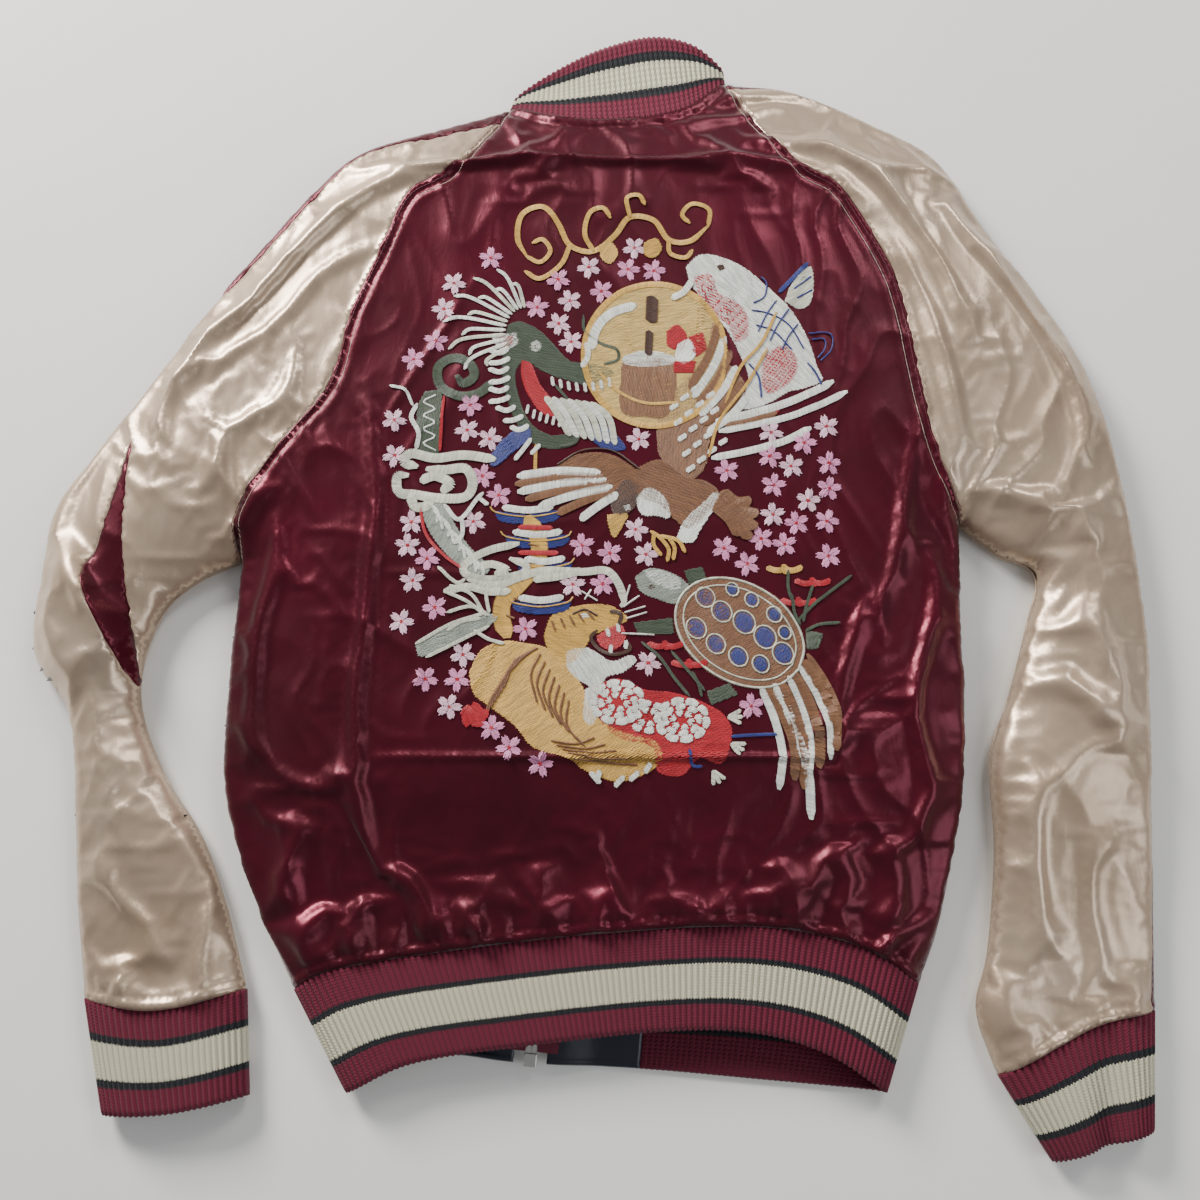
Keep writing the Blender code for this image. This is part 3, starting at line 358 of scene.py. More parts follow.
STRIPE_WIDTH = {"l": ([0, 0.1, 0.3, 0.42, 1], [13, 12, 9, 0, 0]),
                "r": ([0, 0.1, 0.27, 0.33, 0.36, 0.4, 0.86, 0.93, 1], [5, 4, 1.5, 4.5, 2, 0, 0, 3, 5])}
WEDGE = smooth([(-294, 67), (-300, 37), (-308, 0), (-314, -24), (-306, -48), (-286, -90), (-288, -60), (-291, -30),
                (-294, 17), (-294, 67)], 6)[:-1]
BACK_OUTLINE = loop("hem", "side_r", "-raglan_r", "-back_neck", "raglan_l", "-side_l")
SLEEVE_OUTLINE = {"l": loop("outer_l", "cuff_l", "-inner_l", "-raglan_l"),
                  "r": loop("outer_r", "cuff_r", "-inner_r", "-raglan_r")}


def stripe_line(end):
    """The stripe's visible edge on the upper layer, as a curve beside the outer fold."""
    outer = SEAM[f"outer_{end}"]
    shares = np.linspace(0.004, 0.995, 160)
    width = np.interp(shares, *STRIPE_WIDTH[end])
    way = np.gradient(outer, axis=0)
    way /= np.linalg.norm(way, axis=1)[:, None]
    inward = np.stack([-way[:, 1], way[:, 0]], axis=1) if end == "l" else np.stack([way[:, 1], -way[:, 0]], axis=1)
    pts = along(outer, shares) + width[:, None] * np.stack(
        [np.interp(shares, walked(outer) / walked(outer)[-1], inward[:, k]) for k in range(2)], axis=1)
    return pts, width


# %% Cut the net
def net(seams, extra, spacing, outlines):
    """Plan points and triangles of a net that keeps these seams, inside these outlines."""
    points, edges, index = [], [], {}

    def put(p):
        key = (round(p[0], 3), round(p[1], 3))
        if key not in index:
            index[key] = len(points)
            points.append(Vector(key))
        return index[key]

    kept = [spaced(SEAM[name], spacing) for name in seams] + list(extra)
    for line in kept:
        ids = [put(p) for p in line]
        edges += [(a, b) for a, b in zip(ids, ids[1:]) if a != b]
    low, high = np.min([o.min(0) for o in outlines], axis=0), np.max([o.max(0) for o in outlines], axis=0)
    rows = np.arange(low[1], high[1], spacing * 0.866)
    fill = np.array([(x + (i % 2) * spacing / 2, y) for i, y in enumerate(rows)
                     for x in np.arange(low[0], high[0], spacing)])
    fill = fill[np.any([inside(fill, o) for o in outlines], axis=0)]
    near = np.min([line_distance(fill, line)[0] for line in kept], axis=0)
    for p in fill[near > 0.55 * spacing]:
        put(p)
    made = delaunay_2d_cdt(points, edges, [], 0, 0.01)
    plan = np.array([tuple(p) for p in made[0]])
    faces = np.array([f for f in made[2] if len(f) == 3])
    middle = plan[faces].mean(1)
    faces = faces[np.any([inside(middle, o) for o in outlines], axis=0)]
    used, faces = np.unique(faces, return_inverse=True)
    return plan[used], faces.reshape(-1, 3)


SPACING = 4.5
stripe_edges = []
for end in "lr":
    pts, width = stripe_line(end)
    shown = width > 1.2
    for run in np.split(np.arange(len(pts)), np.where(np.diff(shown.astype(int)) != 0)[0] + 1):
        if shown[run[0]]:
            stripe_edges.append(spaced(pts[run], SPACING))
closed_wedge = spaced(np.vstack([WEDGE, WEDGE[:1]]), SPACING)
TOP_SEAMS = ["hem", "side_l", "side_r", "raglan_l", "raglan_r", "back_neck", "outer_l", "outer_r", "inner_l",
             "inner_r", "cuff_l", "cuff_r"]
plan, faces = net(TOP_SEAMS, stripe_edges + [closed_wedge], SPACING, [BACK_OUTLINE, *SLEEVE_OUTLINE.values()])
print("upper layer:", len(plan), "points,", len(faces), "triangles")


# %% Which panel each triangle belongs to
def panel_of(plan, faces):
    middle = plan[faces].mean(1)
    number = np.where(middle[:, 0] < 0, 1, 2)
    number[inside(middle, BACK_OUTLINE)] = 0
    for end, which in (("l", 3), ("r", 4)):
        d, at = line_distance(middle, SEAM[f"outer_{end}"])
        width = np.interp(at / walked(SEAM[f"outer_{end}"])[-1], *STRIPE_WIDTH[end])
        number[(number == which - 2) & (d < width) & (width > 1.2)] = which
    number[inside(middle, WEDGE)] = 3
    return number


TOP_PANELS = ["back_panel", "sleeve_back_left", "sleeve_back_right", "sleeve_stripe_left", "sleeve_stripe_right"]
top_panel = panel_of(plan, faces)
print({name: int((top_panel == i).sum()) for i, name in enumerate(TOP_PANELS)})

# %% [markdown]
# ## Let the cloth settle
#
# Blender's Cloth makes the small wrinkles that no one could place by hand. The net starts as the
# sculpted shape, is given two per cent more cloth than it has room for, and is held at its seams.
# Under its own weight the spare cloth buckles. A base under it stands in for the lining.
# %% Sculpt the starting shape
def mesh_object(name, co, faces, finish=None):
    mesh = bpy.data.meshes.new(name)
    mesh.from_pydata([tuple(c) for c in co], [], [tuple(map(int, f)) for f in faces])
    if finish is not None:
        mesh.materials.append(finish)
    obj = bpy.data.objects.new(name, mesh)
    bpy.context.scene.collection.objects.link(obj)
    return obj


def read_points(mesh):
    co = np.zeros(len(mesh.vertices) * 3, np.float32)
    mesh.vertices.foreach_get("co", co)
    return co.reshape(-1, 3).astype(float)


room = smoothstep(0, 22, fold_distance(plan))
sculpted = ridge_height(plan)
for seam, pitch, tall, reach in (("hem", 8.5, 4.6, 34), ("cuff_l", 7.5, 3.4, 22), ("cuff_r", 7.5, 3.4, 22),
                                 ("back_neck", 14, 1.0, 12)):
    sculpted += gathers(plan, seam, pitch, tall, reach)
base_z = top_height(plan)
start = np.column_stack([plan, base_z - 1.5 + 1.25 * sculpted * room])
held = np.min([line_distance(plan, SEAM[n])[0] for n in TOP_SEAMS if "raglan" not in n], axis=0) < 0.01
start[held, 2] = base_z[held]


# %% Simulate
def settle(start, faces, held, frames, growth):
    cloth = mesh_object("net", start * MM * 10, faces)
    pins = cloth.vertex_groups.new(name="held")
    pins.add([int(i) for i in np.where(held)[0]], 1.0, "REPLACE")
    below = start.copy()
    below[:, 2] = np.maximum(base_z - 3.5, 1.0)
    base = mesh_object("base", below * MM * 10, faces)
    base.modifiers.new("solid", "COLLISION")
    base.collision.thickness_outer = 0.005
    base.collision.cloth_friction = 6
    sim = cloth.modifiers.new("cloth", "CLOTH")
    s = sim.settings
    s.quality, s.mass, s.air_damping = 6, 0.12, 3.0
    s.tension_stiffness = s.compression_stiffness = 12
    s.shear_stiffness, s.bending_stiffness = 5, 0.35
    s.vertex_group_mass = "held"
    s.shrink_min = -growth
    sim.collision_settings.distance_min = 0.006
    sim.collision_settings.collision_quality = 2
    scene = bpy.context.scene
    scene.frame_start, scene.frame_end = 1, frames
    sim.point_cache.frame_start, sim.point_cache.frame_end = 1, frames
    for frame_number in range(1, frames + 1):
        scene.frame_set(frame_number)
    done = cloth.evaluated_get(bpy.context.evaluated_depsgraph_get())
    after = read_points(done.data) / MM / 10
    for obj in (cloth, base):
        bpy.data.objects.remove(obj, do_unlink=True)
    scene.frame_set(1)
    return after


t0 = time.time()
settled = settle(start, faces, held, 36, 0.02)
moved = np.linalg.norm(settled - start, axis=1)
print("settling took", round(time.time() - t0, 1), "s and moved points by", round(float(moved.mean()), 2),
      "mm, at most", round(float(moved.max()), 1))
MOST = 9.0
settled = start + (settled - start) * np.minimum(1, MOST / np.maximum(moved, 1e-6))[:, None]

# %% [markdown]
# ## Finishes
#
# Every cloth here is a small recipe of nodes on the Principled shader. What several of them
# share, the crossing threads of a weave and the uneven tone of worn cloth, is built once as a
# node group and placed with its own numbers in each material.
# %% Helpers for nodes
def group_socket(tree, name, way, kind, value=None):
    made = tree.interface.new_socket(name=name, in_out=way, socket_type=kind)
    if value is not None:
        made.default_value = value
    return made


class Nodes:
    """Adds nodes to a tree and links them in one line."""

    def __init__(self, tree):
        self.tree = tree

    def add(self, kind, inputs=(), **settings):
        node = self.tree.nodes.new(kind)
        for key, value in settings.items():
            setattr(node, key, value)
        for key, value in dict(inputs).items():
            if isinstance(value, bpy.types.NodeSocket):
                self.tree.links.new(value, node.inputs[key])
            else:
                node.inputs[key].default_value = value
        return node

    def math(self, operation, *values):
        return self.add("ShaderNodeMath", enumerate(values), operation=operation).outputs[0]


# %% The weave group
weave = bpy.data.node_groups.new("Weave", "ShaderNodeTree")
for name, value in (("Threads per metre", 2600.0), ("Slub", 0.4)):
    group_socket(weave, name, "INPUT", "NodeSocketFloat", value)
group_socket(weave, "Height", "OUTPUT", "NodeSocketFloat")
n = Nodes(weave)
source, sink = n.add("NodeGroupInput"), n.add("NodeGroupOutput")
place = n.add("ShaderNodeTexCoord").outputs["Object"]
xyz = n.add("ShaderNodeSeparateXYZ", {0: place})
across = n.math("MULTIPLY", xyz.outputs[0], source.outputs["Threads per metre"])
down = n.math("MULTIPLY", xyz.outputs[1], source.outputs["Threads per metre"])
warp = n.math("SINE", n.math("MULTIPLY", across, 6.2832))
weft = n.math("SINE", n.math("ADD", n.math("MULTIPLY", down, 1.57), n.math("MULTIPLY", across, 1.2)))
stretched = n.add("ShaderNodeVectorMath", {0: place, 1: (900, 60, 60)}, operation="MULTIPLY").outputs[0]
slub = n.add("ShaderNodeTexNoise", {"Vector": stretched, "Scale": 1.0, "Detail": 2.0}).outputs["Fac"]
both = n.math("ADD", n.math("MULTIPLY", warp, 0.3), n.math("MULTIPLY", weft, 0.2))
n.tree.links.new(n.math("ADD", both, n.math("MULTIPLY", slub, source.outputs["Slub"])), sink.inputs["Height"])

# %% The wear group
wear = bpy.data.node_groups.new("Wear", "ShaderNodeTree")
for name, value in (("Patch size", 14.0), ("Amount", 0.3)):
    group_socket(wear, name, "INPUT", "NodeSocketFloat", value)
group_socket(wear, "Mask", "OUTPUT", "NodeSocketFloat")
group_socket(wear, "Crease", "OUTPUT", "NodeSocketFloat")
n = Nodes(wear)
source, sink = n.add("NodeGroupInput"), n.add("NodeGroupOutput")
place = n.add("ShaderNodeTexCoord").outputs["Object"]
cloudy = n.add("ShaderNodeTexNoise", {"Vector": place, "Scale": source.outputs["Patch size"], "Detail": 5.0,
                                      "Roughness": 0.62})
n.tree.links.new(n.math("MULTIPLY", cloudy.outputs["Fac"], source.outputs["Amount"]), sink.inputs["Mask"])
bent = n.add("ShaderNodeVectorMath", {0: place, 1: (1.0, 0.45, 1.0)}, operation="MULTIPLY").outputs[0]
lines = n.add("ShaderNodeTexNoise", {"Vector": bent, "Scale": 75.0, "Detail": 3.0, "Roughness": 0.55, "Distortion": 0.5})
n.tree.links.new(lines.outputs["Fac"], sink.inputs["Crease"])


# %% A material to start from
def finish(name, colour, roughness, metallic=0.0, **constants):
    made = bpy.data.materials.new(name)
    made.use_nodes = True
    surface = made.node_tree.nodes["Principled BSDF"]
    surface.inputs["Base Color"].default_value = (*colour, 1)
    surface.inputs["Roughness"].default_value = roughness
    surface.inputs["Metallic"].default_value = metallic
    for key, value in constants.items():
        surface.inputs[key.replace("_", " ")].default_value = value
    return made, Nodes(made.node_tree), surface


def mixed(n, amount, dark, light):
    node = n.add("ShaderNodeMix", data_type="RGBA")
    if isinstance(amount, bpy.types.NodeSocket):
        n.tree.links.new(amount, node.inputs[0])
    else:
        node.inputs[0].default_value = amount
    for index, value in ((6, dark), (7, light)):
        if isinstance(value, bpy.types.NodeSocket):
            n.tree.links.new(value, node.inputs[index])
        else:
            node.inputs[index].default_value = (*value, 1)
    return node.outputs[2]


def satin(name, dark, light, roughness, metallic, threads=2600.0):
    """Woven satin: a tinted gloss, an uneven tone, fine creases and the floating warp."""
    made, n, surface = finish(name, light, roughness, metallic, Sheen_Weight=0.12, Sheen_Roughness=0.4)
    cloth = n.add("ShaderNodeGroup", node_tree=weave)
    cloth.inputs["Threads per metre"].default_value = threads
    worn = n.add("ShaderNodeGroup", node_tree=wear)
    worn.inputs["Amount"].default_value = 1.0
    tone = n.add("ShaderNodeMapRange", {"Value": worn.outputs["Mask"], "From Min": 0.3, "From Max": 0.7}).outputs[0]
    n.tree.links.new(mixed(n, tone, dark, light), surface.inputs["Base Color"])
    rough = n.add("ShaderNodeMapRange", {"Value": tone, "To Min": roughness + 0.05, "To Max": roughness - 0.05})
    n.tree.links.new(rough.outputs[0], surface.inputs["Roughness"])
    creased = n.add("ShaderNodeBump", {"Height": worn.outputs["Crease"], "Strength": 0.22, "Distance": 0.0016})
    woven = n.add("ShaderNodeBump", {"Height": cloth.outputs["Height"], "Strength": 0.12, "Distance": 0.0001,
                                     "Normal": creased.outputs[0]})
    n.tree.links.new(woven.outputs[0], surface.inputs["Normal"])
    return made


MAROON_SATIN = satin("maroon satin", (0.058, 0.0015, 0.008), (0.105, 0.004, 0.017), 0.33, 0.6)
CHAMPAGNE_SATIN = satin("champagne satin", (0.42, 0.30, 0.205), (0.60, 0.455, 0.335), 0.34, 0.62)
NAVY_SATIN = satin("navy lining satin", (0.006, 0.008, 0.016), (0.014, 0.017, 0.03), 0.36, 0.1)
COTTON = satin("pocketing cotton", (0.01, 0.011, 0.018), (0.02, 0.022, 0.032), 0.85, 0.0, 900.0)


# %% Rib knit, coloured in bands
def knit(name, cuts):
    """Cuts are where the bands change, as shares from the seam to the loose edge."""
    red, black, cream = (0.165, 0.004, 0.028), (0.006, 0.007, 0.011), (0.74, 0.69, 0.50)
    made, n, surface = finish(name, red, 0.9, Sheen_Weight=0.08, Sheen_Roughness=0.5)
    u = n.add("ShaderNodeAttribute", attribute_name="across").outputs["Fac"]
    v = n.add("ShaderNodeAttribute", attribute_name="down").outputs["Fac"]
    rows = n.add("ShaderNodeAttribute", attribute_name="long").outputs["Fac"]
    column = n.math("DIVIDE", u, 3.6)
    slant = n.math("ABSOLUTE", n.math("SUBTRACT", n.math("FRACT", n.math("MULTIPLY", column, 2.0)), 0.5))
    stitch = n.math("FRACT", n.math("ADD", n.math("DIVIDE", rows, 1.7), n.math("MULTIPLY", slant, 1.3)))
    place = n.add("ShaderNodeTexCoord").outputs["Object"]
    fuzz = n.add("ShaderNodeTexNoise", {"Vector": place, "Scale": 420.0, "Detail": 3.0}).outputs["Fac"]
    ragged = n.math("MULTIPLY", n.math("SUBTRACT", fuzz, 0.5), 0.02)
    edge = n.math("ADD", v, n.math("ADD", n.math("MULTIPLY", slant, 0.035), ragged))
    past = [n.math("GREATER_THAN", edge, cut) for cut in cuts]
    colour = red
    for mask, other in zip(past, (black, cream, black, red)):
        colour = mixed(n, mask, colour, other)
    # Painted shade: the band colour is darkened to half in the valleys between rib columns, and each knit loop is
    # painted darker at one end and up to 8% lighter at the other; the rib tree and the bump give the real relief
    painted_valley_shade_mask = n.math("POWER", n.math("ABSOLUTE", n.math("SINE", n.math("MULTIPLY", column, 3.14159))), 0.6)
    shade = n.add("ShaderNodeMapRange", {"Value": painted_valley_shade_mask, "To Min": 0.5, "To Max": 1.0}).outputs[0]
    painted_loop_shade = n.add("ShaderNodeMapRange", {"Value": stitch, "To Min": 0.72, "To Max": 1.08}).outputs[0]
    shade = n.math("MULTIPLY", shade, painted_loop_shade)
    tinted = n.add("ShaderNodeVectorMath", {0: colour, "Scale": shade}, operation="SCALE").outputs[0]
    n.tree.links.new(tinted, surface.inputs["Base Color"])
    loops = n.math("ADD", n.math("SINE", n.math("MULTIPLY", stitch, 3.14159)), n.math("MULTIPLY", fuzz, 0.7))
    bump = n.add("ShaderNodeBump", {"Height": loops, "Strength": 0.7, "Distance": 0.0006})
    n.tree.links.new(bump.outputs[0], surface.inputs["Normal"])
    return made


HEM_KNIT = knit("striped rib knit of the hem", (0.31, 0.365, 0.70, 0.755))
CUFF_KNIT = knit("striped rib knit of the cuffs", (0.29, 0.36, 0.69, 0.76))
COLLAR_KNIT = knit("striped rib knit of the collar", (0.28, 0.38, 0.70, 0.82))


# %% Embroidery thread
def thread(name, colour):
    """Glossy rayon thread: its tone changes from stitch to stitch, and its plies show as fine ridges."""
    made, n, surface = finish(name, colour, 0.42, 0.1, Sheen_Weight=0.2)
    shade = n.add("ShaderNodeAttribute", attribute_name="shade").outputs["Fac"]
    dark, light = [tuple(min(1, c * k) for c in colour) for k in (0.72, 1.12)]
    n.tree.links.new(mixed(n, shade, dark, light), surface.inputs["Base Color"])
    place = n.add("ShaderNodeTexCoord").outputs["Object"]
    plies = n.add("ShaderNodeTexNoise", {"Vector": place, "Scale": 2600.0, "Detail": 2.0})
    bump = n.add("ShaderNodeBump", {"Height": plies.outputs["Fac"], "Strength": 0.3, "Distance": 0.0002})
    n.tree.links.new(bump.outputs[0], surface.inputs["Normal"])
    return made


THREADS = {name: thread(name + " thread", colour) for name, colour in {
    "gold": (0.62, 0.36, 0.07), "pale gold": (0.68, 0.47, 0.16), "white": (0.74, 0.74, 0.68),
    "cream": (0.62, 0.62, 0.50),
    "brown": (0.20, 0.085, 0.035), "dark brown": (0.065, 0.026, 0.014), "green": (0.055, 0.075, 0.045),
    "grey green": (0.26, 0.29, 0.24), "blue": (0.012, 0.022, 0.17), "red": (0.42, 0.008, 0.018),
    "pink": (0.70, 0.27, 0.46),
    "pale pink": (0.78, 0.50, 0.60), "maroon": (0.12, 0.006, 0.02), "champagne": (0.55, 0.45, 0.36)}.items()}

# %% Labels, tape and metal
LABEL_CLOTH = satin("white woven label", (0.62, 0.60, 0.54), (0.74, 0.72, 0.66), 0.7, 0.0, 1800.0)
TAPE_CLOTH = satin("burgundy zip tape", (0.10, 0.006, 0.02), (0.15, 0.01, 0.03), 0.7, 0.0, 1400.0)
METAL, n, surface = finish("nickel plated metal", (0.60, 0.58, 0.54), 0.28, 1.0)
worn = n.add("ShaderNodeGroup", node_tree=wear)
worn.inputs["Patch size"].default_value, worn.inputs["Amount"].default_value = 900.0, 1.0
rough = n.add("ShaderNodeMapRange", {"Value": worn.outputs["Mask"], "To Min": 0.18, "To Max": 0.5})
n.tree.links.new(rough.outputs[0], surface.inputs["Roughness"])
print(len(bpy.data.materials), "materials")

# %% [markdown]
# ## From the net to the sewn panels
#
# The settled net is subdivided once, which rounds the triangles, and then gets the detail that
# is finer than the net: the groove of each seam and the shallow ridge of its turned allowance.
# After that the scissors come out: each panel becomes an object of its own with real thickness.
# %% Subdivide and groove
def plain_mesh(obj):
    """The object's mesh with its modifiers worked in."""
    bpy.context.view_layer.update()
    return bpy.data.meshes.new_from_object(obj.evaluated_get(bpy.context.evaluated_depsgraph_get()))


def faces_of(mesh):
    return [tuple(p.vertices) for p in mesh.polygons]


def refined(co, faces, panel, count):
    """Points and faces a step finer, with each face's panel number."""
    obj = mesh_object("fine", co * MM, faces)
    for _ in range(count):
        obj.data.materials.append(None)
    obj.data.polygons.foreach_set("material_index", panel.astype(np.int32))
    finer = obj.modifiers.new("finer", "SUBSURF")
    finer.levels = finer.render_levels = 1
    finer.boundary_smooth = "PRESERVE_CORNERS"
    mesh = plain_mesh(obj)
    number = np.zeros(len(mesh.polygons), np.int32)
    mesh.polygons.foreach_get("material_index", number)
    made = read_points(mesh) / MM, faces_of(mesh), number
    bpy.data.objects.remove(obj, do_unlink=True)
    bpy.data.meshes.remove(mesh)
    return made


fine, fine_faces, fine_panel = refined(settled, faces, top_panel, len(TOP_PANELS))
for name in ("raglan_l", "raglan_r"):
    d, _ = line_distance(fine[:, :2], SEAM[name])
    fine[:, 2] -= 1.3 * np.exp(-(d / 1.8) ** 2) - 0.5 * np.exp(-((d - 4.5) / 2.5) ** 2)


def crumple(plan, across, along_y, seed):
    """Sharp, wandering creases: where a smooth noise passes through zero, the cloth makes a ridge."""
    total = np.zeros(len(plan))
    for i, (x, y) in enumerate(plan):
        bend = noise.noise(Vector((x / 70, y / 70, seed + 5.0)))
        value = noise.noise(Vector((x / across + 1.2 * bend, y / along_y - bend, seed)))
        total[i] = max(0.0, 1 - 2.1 * abs(value)) ** 2
    return total


fine_room = smoothstep(0, 26, fold_distance(fine[:, :2]))
embroidered = np.exp(-(((fine[:, 0] - 18) / 125) ** 2 + ((fine[:, 1] - 30) / 175) ** 2) ** 1.5)
body = np.isin(np.arange(len(fine)), np.unique(np.concatenate([np.unique(np.array([v for v in f])) for f, p in
                                                               zip(fine_faces, fine_panel) if p == 0])))
creases = np.where(body, crumple(fine[:, :2], 34, 120, 1.0), crumple(fine[:, :2], 42, 80, 2.0))
creases += 0.25 * crumple(fine[:, :2], 20, 46, 3.0)
fine[:, 2] += 1.7 * creases * fine_room * (1 - 0.75 * embroidered)
for name, tall in (("hem", 1.5), ("cuff_l", 1.4), ("cuff_r", 1.4), ("back_neck", 0.7)):
    d, at = line_distance(fine[:, :2], SEAM[name])
    pucker = 1 + 0.28 * np.sin(at / 3.6 * 2 * math.pi + 2.5 * np.sin(at / 17))
    fine[:, 2] += tall * pucker * np.exp(-((d - 2.6) / 2.0) ** 2) - 0.9 * np.exp(-((d - 7.0) / 1.6) ** 2)
fine[:, 2] = np.maximum(fine[:, 2], 7.9)
top_tree = BVHTree.FromPolygons([Vector(c) for c in fine], fine_faces)
print("fine layer:", len(fine), "points")


def on_top(plan, clear=0.0):
    """Points on the upper layer straight above these plan points, and the cloth's normals there."""
    place, normal = np.zeros((len(plan), 3)), np.zeros((len(plan), 3))
    for i, (x, y) in enumerate(plan):
        hit, up, _, _ = top_tree.ray_cast(Vector((x, y, 90)), Vector((0, 0, -1)))
        if hit is None:
            hit, up, _, _ = top_tree.find_nearest(Vector((x, y, 30)))
        up = up if up.z > 0 else -up
        place[i], normal[i] = hit + clear * up, up
    return place, normal


# %% Cut out a panel
def area_of(co, faces):
    """Plan area of a flat net, in square metres."""
    return sum(abs(np.cross(co[f[i]][:2] - co[f[0]][:2], co[f[i + 1]][:2] - co[f[0]][:2])) / 2
               for f in faces for i in range(1, len(f) - 1)) * MM * MM


def panel(name, co, faces, finish_of, slot, thickness, held_by, ease=1.05, turned=False, rests_on=(), node=None,
          strip=None):
    """A sewn panel with thickness, in the place of the CAD node of the same name."""
    used, faces = np.unique(np.concatenate([np.array(f) for f in faces]), return_inverse=True), faces
    index = {int(old): new for new, old in enumerate(used[0])}
    own = [tuple(index[v] for v in (reversed(f) if turned else f)) for f in faces]
    obj = mesh_object("cut_" + name, co[used[0]] * MM, own, finish_of)
    obj.data.shade_smooth()
    wall = obj.modifiers.new("wall", "SOLIDIFY")
    wall.thickness, wall.offset = thickness * MM, -1
    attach(obj, "jacket")
    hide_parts(node or name)
    size = (co[used[0]].max(0) - co[used[0]].min(0))[:2] * MM * 1.06
    flat_area = min(area_of(co, faces) * ease, 0.98 * size[0] * size[1])
    flat_area = max(flat_area, 0.31 * size[0] * size[1])
    if strip:
        flat_area = area_of(co, faces) * ease
        size = np.array([flat_area / strip * 1.02, strip])
    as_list(rests_on)
    print(name, "cut from", [round(float(s), 3) for s in size], "m, area", round(float(flat_area), 4), "m2,",
          len(own), "faces")
    return obj


BODY_LOOK, SLEEVE_LOOK = (MAROON_SATIN, "maroon_satin"), (CHAMPAGNE_SATIN, "champagne_satin")
TOP_FINISH = [BODY_LOOK, SLEEVE_LOOK, SLEEVE_LOOK]
top_faces = {name: [f for f, p in zip(fine_faces, fine_panel) if p == i] for i, name in enumerate(TOP_PANELS)}
for i, name in enumerate(TOP_PANELS[:3]):
    panel(name, fine, top_faces[name], *TOP_FINISH[i], 1.0, "laid", node=name)

# %% [markdown]
# ## The lower layer, on the floor
#
# The two fronts and the lower halves of the sleeves lie face down. They take the floor's shape,
# so they need no simulation: a coarser net, the lower height formula, and shallow gathers.
# %% Fronts and lower sleeves
def beside_zip(offset):
    """The straight line at this distance from the zip's middle line, from the hem seam to the neckline."""
    neck, foot = ZIP_NECK + ZIP_ACROSS * offset, ZIP_HEM + ZIP_ACROSS * offset
    for _ in range(4):
        seam_y = float(np.interp(foot[0], SEAM["hem"][:, 0], SEAM["hem"][:, 1]))
        foot = foot + ZIP_WAY * (seam_y - foot[1]) / ZIP_WAY[1]
    return np.array([foot, neck])


def front_outline(sign):
    end = "l" if sign < 0 else "r"
    foot, neck = beside_zip(sign * 10.0)
    hem = SEAM["hem"] if sign < 0 else SEAM["hem"][::-1]
    hem = hem[(hem[:, 0] - foot[0]) * sign > 1]
    return np.vstack([hem, [foot, neck], SEAM[f"front_neck_{end}"][::-1][1:], SEAM[f"raglan_{end}"][1:],
                      SEAM[f"side_{end}"][::-1][1:-1]])


under_outlines = {"front_panel_left": front_outline(-1), "front_panel_right": front_outline(1),
                  "sleeve_front_left": SLEEVE_OUTLINE["l"], "sleeve_front_right": SLEEVE_OUTLINE["r"]}
LOOKS = {"front_panel_left": BODY_LOOK, "front_panel_right": BODY_LOOK,
         "sleeve_front_left": SLEEVE_LOOK, "sleeve_front_right": SLEEVE_LOOK}


WELT_FROM_ZIP, WELT_Y, WELT_LEAN = 112.0, -96.0, 16


def welt_frame(side):
    """The pocket opening's middle in plan, and its turn in radians."""
    sign = -1 if side == "left" else 1
    line = beside_zip(sign * WELT_FROM_ZIP)
    middle = np.array([np.interp(WELT_Y, line[:, 1], line[:, 0]), WELT_Y])
    return middle, -sign * math.radians(WELT_LEAN) - math.atan2(ZIP_WAY[0], ZIP_WAY[1])


def welt_corners(side, half_w, half_h):
    middle, turn = welt_frame(side)
    c, s = math.cos(turn), math.sin(turn)
    return np.array([middle + (x * c - y * s, x * s + y * c) for x, y in
                     ((-half_w, -half_h), (half_w, -half_h), (half_w, half_h), (-half_w, half_h))])


STRIPE_BELOW = 24.0
for name, outline in under_outlines.items():
    rim = spaced(np.vstack([outline, outline[:1]]), 6)
    extra = [rim]
    if "sleeve" in name:
        outer_name, inward = ("outer_l", -1) if "left" in name else ("outer_r", 1)
        extra.append(spaced(shifted(SEAM[outer_name], inward * STRIPE_BELOW)[12:-10], 6))
    if "front_panel" in name:
        slit = welt_corners(name.split("_")[-1], 11.2, 69.2)
        extra.append(spaced(np.vstack([slit, slit[:1]]), 6))
    co, tri = net([], extra, 8, [outline])
    if "front_panel" in name:
        tri = tri[~inside(co[tri].mean(1), slit)]
    band = np.zeros(len(tri), bool)
    if "sleeve" in name:
        outer_name = "outer_l" if "left" in name else "outer_r"
        band = line_distance(co[tri].mean(1), SEAM[outer_name])[0] < STRIPE_BELOW
    z = bottom_height(co)
    ripple = gathers(co, "hem" if "front" in name[:5] else f"cuff_{'l' if 'left' in name else 'r'}", 10, 2.0, 24)
    z += ripple * smoothstep(0, 22, fold_distance(co))
    lower = np.column_stack([co, z])
    panel(name, lower, [tuple(t) for t in tri[~band]], *LOOKS[name], 1.0, "laid", turned=True, node=name)
    if "sleeve" in name:
        stripe = name.replace("front", "stripe")
        both = np.vstack([fine, lower])
        under_faces = [tuple(int(v) + len(fine) for v in t[::-1]) for t in tri[band]]
        panel(stripe, both, top_faces[stripe] + under_faces, MAROON_SATIN, "maroon_satin", 1.0, "folded",
              node=stripe, strip=0.72)

